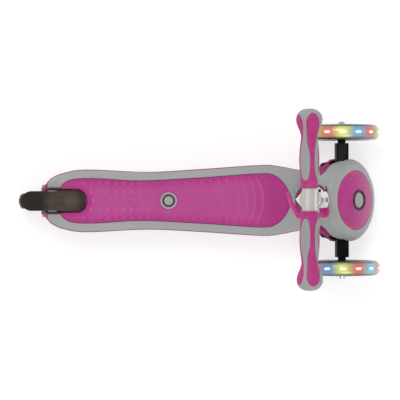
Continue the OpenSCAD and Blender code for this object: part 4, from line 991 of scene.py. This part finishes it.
def makeClamp(s):
    a = np.linspace(0, 2 * np.pi, 288, endpoint=False)
    reach = flangeReach(a, s)

    def loop(radius, height):
        return np.stack([radius * np.cos(a), radius * np.sin(a), height + 0 * a], -1)

    bush = np.stack([loop(s["stemR"] + 0 * a, s["low"]), loop(s["tubeR"] + 0 * a, s["low"]),
                     loop(s["tubeR"] + 0 * a, s["seat"]), loop(reach, s["seat"] + 0.1), loop(reach, s["top"] - 0.5),
                     loop(reach - 0.15, s["top"] - 0.15), loop(reach - 0.5, s["top"]),
                     loop(s["stemR"] + 0.5 + 0 * a, s["top"]), loop(s["stemR"] + 0 * a, s["top"] - 0.5),
                     loop(s["stemR"] + 0 * a, s["low"])])
    makePiece("tubeBush", [(placed(bush, columnFrame), False, True, 0)], [look["whitePlastic"]], "column",
              ["tube_bush"])
    sheets, zones = [], []
    for first, last in s["arcs"]:
        b = np.radians(np.arange(first, last, 0.5))
        inner = np.minimum(flangeReach(b, s) + s["gap"], s["outer"] - 0.3)
        tooth = np.cos(s["teeth"] * b)
        height = s["top"] - 0.9 + 0.5 * np.clip(3 * tooth, -1, 1)
        rows = [(inner, s["seat"] + 0 * b), (inner, height), (inner + 0.15, height + 0.1),
                (s["outer"] - 0.3 + 0 * b, height + 0.1), (s["outer"] + 0 * b, height - 0.2),
                (s["outer"] + 0 * b, s["seat"] + 0 * b)]
        grid = np.stack([np.stack([r * np.cos(b), r * np.sin(b), h], -1) for r, h in rows], 1)
        first, last = (g.mean(1, keepdims=True).repeat(6, 1) for g in (grid[:1], grid[-1:]))
        grid = np.concatenate([first, grid, last])
        sheets.append((placed(grid, columnFrame), False, True, 0))
        # troughs between the teeth are painted dark as shade
        zone = 0.6 * tooth[:, None] + np.zeros(6)
        zones.append(np.concatenate([zone[:1], zone, zone[-1:]]).ravel())
    makePiece("collarRidges", sheets, [look["ridgedCollar"]], "column",
              values={"zone": np.concatenate(zones)})
    plates = blocks([p[:4] for p in s["labels"]], s["top"] - 0.2, s["top"] + 0.22, columnFrame)
    makePiece("flangeLabels", [(g, False, True, i) for i, g in enumerate(plates)],
              [look[p[4]] for p in s["labels"]], "column")
    plug = blocks([s["plug"]], s["top"] - 0.2, s["top"] + 0.8, columnFrame)
    makePiece("flangePlug", [(plug[0], False, True, 0)], [look["blackPlastic"]], "column")

    # lever: a rounded bar carried along its centre line, its round root turning about the pin
    line = smoothed(s["lever"], 8)
    step = np.gradient(line[:, :2], axis=0)
    step /= np.linalg.norm(step, axis=1)[:, None]
    across = np.stack([step[:, 1], -step[:, 0]], -1)
    c = np.linspace(0, 2 * np.pi, 40, endpoint=False)
    side = np.sign(np.cos(c)) * np.abs(np.cos(c))**s["leverSquare"]
    lift = np.sign(np.sin(c)) * np.abs(np.sin(c))**s["leverSquare"]
    width = np.maximum(line[:, 2], 0.05)
    half, middle = (s["leverTop"] - s["leverLow"]) / 2, (s["leverTop"] + s["leverLow"]) / 2
    slim = 1 - s["leverTaper"] * between(np.linspace(0, 1, len(line)), 0.4, 1)
    xy = line[:, None, :2] + across[:, None, :] * (width[:, None] * side[None, :])[..., None]
    grid = np.concatenate([xy, (middle + half * slim[:, None] * lift[None, :])[..., None]], -1)
    ends = [g.mean(0, keepdims=True).repeat(40, 0)[None] for g in (grid[0], grid[-1])]
    makePiece("clampLever", [(placed(np.concatenate([ends[0], grid, ends[1]]), columnFrame), False, True, 0)],
              [look["leverMagenta"]], "clamp_lever", ["clamp_lever"])

    # nut cover: an oval domed lobe at the collar's split, local Z along the bolt
    u = np.linspace(0, np.pi / 2, 12)
    depth = s["nutTo"] - s["nutFrom"]
    straight = s["nutStraight"] * depth
    run = np.concatenate([[0, straight], straight + (depth - straight) * np.sin(u)])
    size = np.concatenate([[1, 1], np.cos(u)**0.8])
    size[-1] = 0
    (cy, cz), (ry, rz) = s["nutAt"], s["nutHalf"]
    e = np.linspace(0, 2 * np.pi, 64, endpoint=False)
    lobe = np.stack([s["nutFrom"] + run[:, None] + 0 * e, cy + ry * size[:, None] * np.cos(e),
                     cz + rz * size[:, None] * np.sin(e)], -1)
    back = lobe[:1].mean(1, keepdims=True).repeat(64, 1)
    makePiece("clampNut", [(placed(np.concatenate([back, lobe]), columnFrame), False, True, 0)],
              [look["clampMagenta"]], "column", ["clamp_nut"])


makeClamp(clampSettings)

# painted highlight: pale bands round the bar, each given as degrees round the bar, spread, strength
barSettings = {"radius": 10.3, "half": 15.6, "core": 8.0, "coreHalf": 106.0, "saddle": 14.2, "saddleDrop": 13.4,
               "paintedHighlights": [(66, 10, 1.0), (-8, 16, 0.35)]}      # degrees round the bar, spread, strength


def makeBar(s):
    # the bar's bare middle with its thinner core and painted highlight bands, and the welded saddle that carries it on
    # the stem
    a = np.linspace(0, 2 * np.pi, 128, endpoint=False)
    profile = rounded([(0, -s["coreHalf"]), (s["core"], -s["coreHalf"]), (s["core"], -s["half"]),
                       (s["radius"], -s["half"]), (s["radius"], s["half"]), (s["core"], s["half"]),
                       (s["core"], s["coreHalf"]), (0, s["coreHalf"])], 0.3)
    r, y = profile[:, :1], profile[:, 1:]
    tube = np.stack([r * np.sin(a), y + 0 * a, r * np.cos(a)], -1)
    # bands of painted highlight, placed by the angle round the bar as the camera sees it
    seen = np.degrees((a + np.pi) % (2 * np.pi) - np.pi) + cameraSettings["tilt"]
    bright = sum(strength * np.exp(-((seen - at) / wide)**2) for at, wide, strength in s["paintedHighlights"])
    rise = np.repeat(bright[None], len(profile), 0)
    drop = [(0, -s["radius"] + 4), (s["saddle"] - 5, -s["radius"] + 3.5), (s["saddle"] - 2.5, -s["radius"]),
            (s["saddle"], -s["saddleDrop"]), (s["saddle"], -s["saddleDrop"] - 6), (0, -s["saddleDrop"] - 6)]
    saddle = turned(rounded(drop, 2.0), level)
    values = {"rise": np.concatenate([rise.ravel(), np.zeros(saddle.shape[0] * saddle.shape[1])])}
    makePiece("crossTube", [(placed(tube, barFrame), False, True, 0), (placed(saddle, barFrame), False, True, 0)],
              [look["barTube"]], "handlebar", ["cross_tube"], values=values)


makeBar(barSettings)

stemSettings = {"radius": 13.5, "bore": 11.9, "under": 16.0}


def makeStem(s):
    # a plain tube up into the saddle, its foot hidden inside the column's tube
    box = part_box("stem_tube")
    corners = np.array([(x / mm, 0, box[0][2] / mm) for x in (box[0][0], box[1][0])])
    low = ((corners - columnFrame[0]) @ columnFrame[1][2]).max()
    top = (barCentre - columnFrame[0]) @ columnFrame[1][2] - s["under"]
    profile = np.array([(s["bore"], low), (s["radius"], low), (s["radius"], top), (s["bore"], top),
                        (s["bore"], low)])
    makePiece("stemTube", [(turned(profile, columnFrame), False, True, 0)], [look["silverTube"]], "handlebar",
              ["stem_tube"])


makeStem(stemSettings)

axleSettings = {"head": 3.7, "rod": 3.2, "nut": 3.8, "fork": 4.6}


def makeRearAxle(s):
    # local Z runs along the axle: a slim round head on one side, a hexagon nut on the other
    low, high = (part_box("rear_axle")[k][1] / mm for k in (0, 1))
    nutLow, nutHigh = (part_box("rear_axle_nut")[k][1] / mm for k in (0, 1))
    base = (rearAxle * (1, 0, 1), sideways)
    rod = rounded([(0, low), (s["rod"], low), (s["rod"], high - s["fork"]), (s["head"], high - s["fork"]),
                   (s["head"], high), (2.0, high), (1.8, high - 2), (0, high - 2)], 0.4)
    makePiece("rearAxleBolt", [(turned(rod, base, 64), False, True, 0)], [look["zincSteel"]], "deck",
              ["rear_axle"])
    nut = np.array([(0, nutLow), (s["nut"] - 0.5, nutLow), (s["nut"], nutLow + 0.5), (s["nut"], nutHigh),
                    (0, nutHigh)])
    makePiece("rearAxleNut", [(turned(nut, base, 6), False, True, 0)], [look["zincSteel"]], "deck",
              ["rear_axle_nut"])


makeRearAxle(axleSettings)
print("clamp and bar are made")

roundedSettings = {
    # node: piece name, edge radius, finish, body, slot
    "deck_body": ("deckShell", 1.6, "magentaPlastic", "deck", "magenta_plastic"),
    "deck_rim": ("deckRim", 1.4, "greyPlastic", "deck", "grey_plastic"),
    "pod_chassis": ("noseChassis", 0.8, "skirtMagenta", "deck", "magenta_plastic"),
    "pod_cover": ("noseCover", 1.0, "greyPlastic", "deck", "grey_plastic"),
    "fold_bracket": ("foldBracket", 0.4, "bracketMetal", "deck", "bracket_metal"),
    "fold_knuckle": ("foldKnuckle", 0.8, "bracketMetal", "column", "bracket_metal"),
    "truck_beam": ("truckBeam", 0.9, "blackPlastic", "truck", "black_plastic"),
    "hub_left": ("hubLeft", 0.8, "greyPlastic", "wheel_left", "grey_plastic"),
    "hub_right": ("hubRight", 0.8, "greyPlastic", "wheel_right", "grey_plastic"),
    "rear_hub": ("rearHub", 0.6, "greyPlastic", "wheel_rear", "grey_plastic"),
    "fold_button": ("foldButton", 0.4, "magentaPlastic", "fold_button", "magenta_plastic"),
    "bump_stops": ("bumpStops", 0.8, "blackRubber", "deck", "black_rubber"),
}


deckTrim = {"edge": 0.8, "until": 150.0, "tail": -249.2}


def trimmedDeck(points):
    # the outer edge comes in by the trim, faded out towards the pad's outline,
    # and the fork's ends are squared off
    line = np.array(padSettings["line"])
    beyond = np.abs(points[:, 1]) - np.interp(points[:, 0], line[:, 0], line[:, 1])
    inward = deckTrim["edge"] * between(beyond, 4.0, 8.0) * (points[:, 0] < deckTrim["until"])
    return np.stack([np.maximum(points[:, 0], deckTrim["tail"]), points[:, 1] - np.sign(points[:, 1]) * inward,
                     points[:, 2]], -1)


for node, (name, width, finish, body, slot) in roundedSettings.items():
    softened(name, node, width, look[finish], body,
             reshape=trimmedDeck if name in ("deckShell", "deckRim") else None)

# walls inside the fork that the rear wheel runs in, coloured dark magenta as painted shade in the slot
slotSettings = {"from": -246.5, "to": -204.0, "inner": 15.95, "outer": 18.0, "low": 47.0, "high": 66.0}


def makeSlotLining(s):
    walls = [(s["from"], s["to"], side * s["inner"], side * s["outer"]) for side in (1, -1)]
    makePiece("slotLining", [(g, False, True, 0) for g in blocks(walls, s["low"], s["high"], level)],
              [look["magentaDark"]], "deck")


makeSlotLining(slotSettings)


def pressedCollar(points):
    # what stands above the flange's seat is pressed down to it along the column
    up = columnFrame[1][2]
    return points - np.maximum((points - columnFrame[0]) @ up - clampSettings["seat"], 0)[:, None] * up


softened("clampCollar", "clamp_collar", 0.6, look["clampMagenta"], "column", reshape=pressedCollar)
print("rounded copies are made")

slotFinish = {
    "magenta_plastic": "magentaPlastic", "magenta_gloss": "magentaGloss", "grey_plastic": "greyPlastic",
    "pad_rubber": "padRubber", "dark_plastic": "darkPlastic", "black_plastic": "blackPlastic",
    "black_rubber": "blackRubber", "black_tyre": "blackTyre", "clear_tyre": "lightRing",
    "light_ring": "lightRing", "zinc_steel": "zincSteel", "chrome_bolt": "chromeBolt",
    "bracket_metal": "bracketMetal", "white_tube": "whiteTube", "silver_tube": "silverTube",
    "white_plastic": "whitePlastic", "grip_magenta": "gripRubber", "grip_grey": "greyPlastic",
}
for name, node in nodes.items():
    for slot in node.material_slots:
        key = next((k for k in slotFinish if slot.material and k in slot.material.name), None)
        slot.material = look[slotFinish.get(key, "zincSteel")]
print("cad finishes are set")


floorSettings = {"half": 6.0, "tones": (0.48, 0.51), "rough": 0.9, "lift": 0.62}


def makeFloor(s):
    floor, t, shader, place = startMaterial("studioFloor")
    darker, paler = ((tone, tone, tone, 1) for tone in s["tones"])
    t.join(t.mix(t.noise(place, 2.0, 2.0), darker, paler), shader.inputs["Base Color"])
    shader.inputs["Roughness"].default_value = s["rough"]
    shader.inputs["Emission Color"].default_value = (1, 1, 1, 1)
    shader.inputs["Emission Strength"].default_value = s["lift"]
    half = s["half"]
    corner = np.array([[(-half, -half, 0), (half, -half, 0)], [(-half, half, 0), (half, half, 0)]]) / mm
    mesh = makeMesh("floor", [(corner, False, False, 0)], [floor])
    obj = bpy.data.objects.new("floor", mesh)
    scene.collection.objects.link(obj)


makeFloor(floorSettings)

print("done")
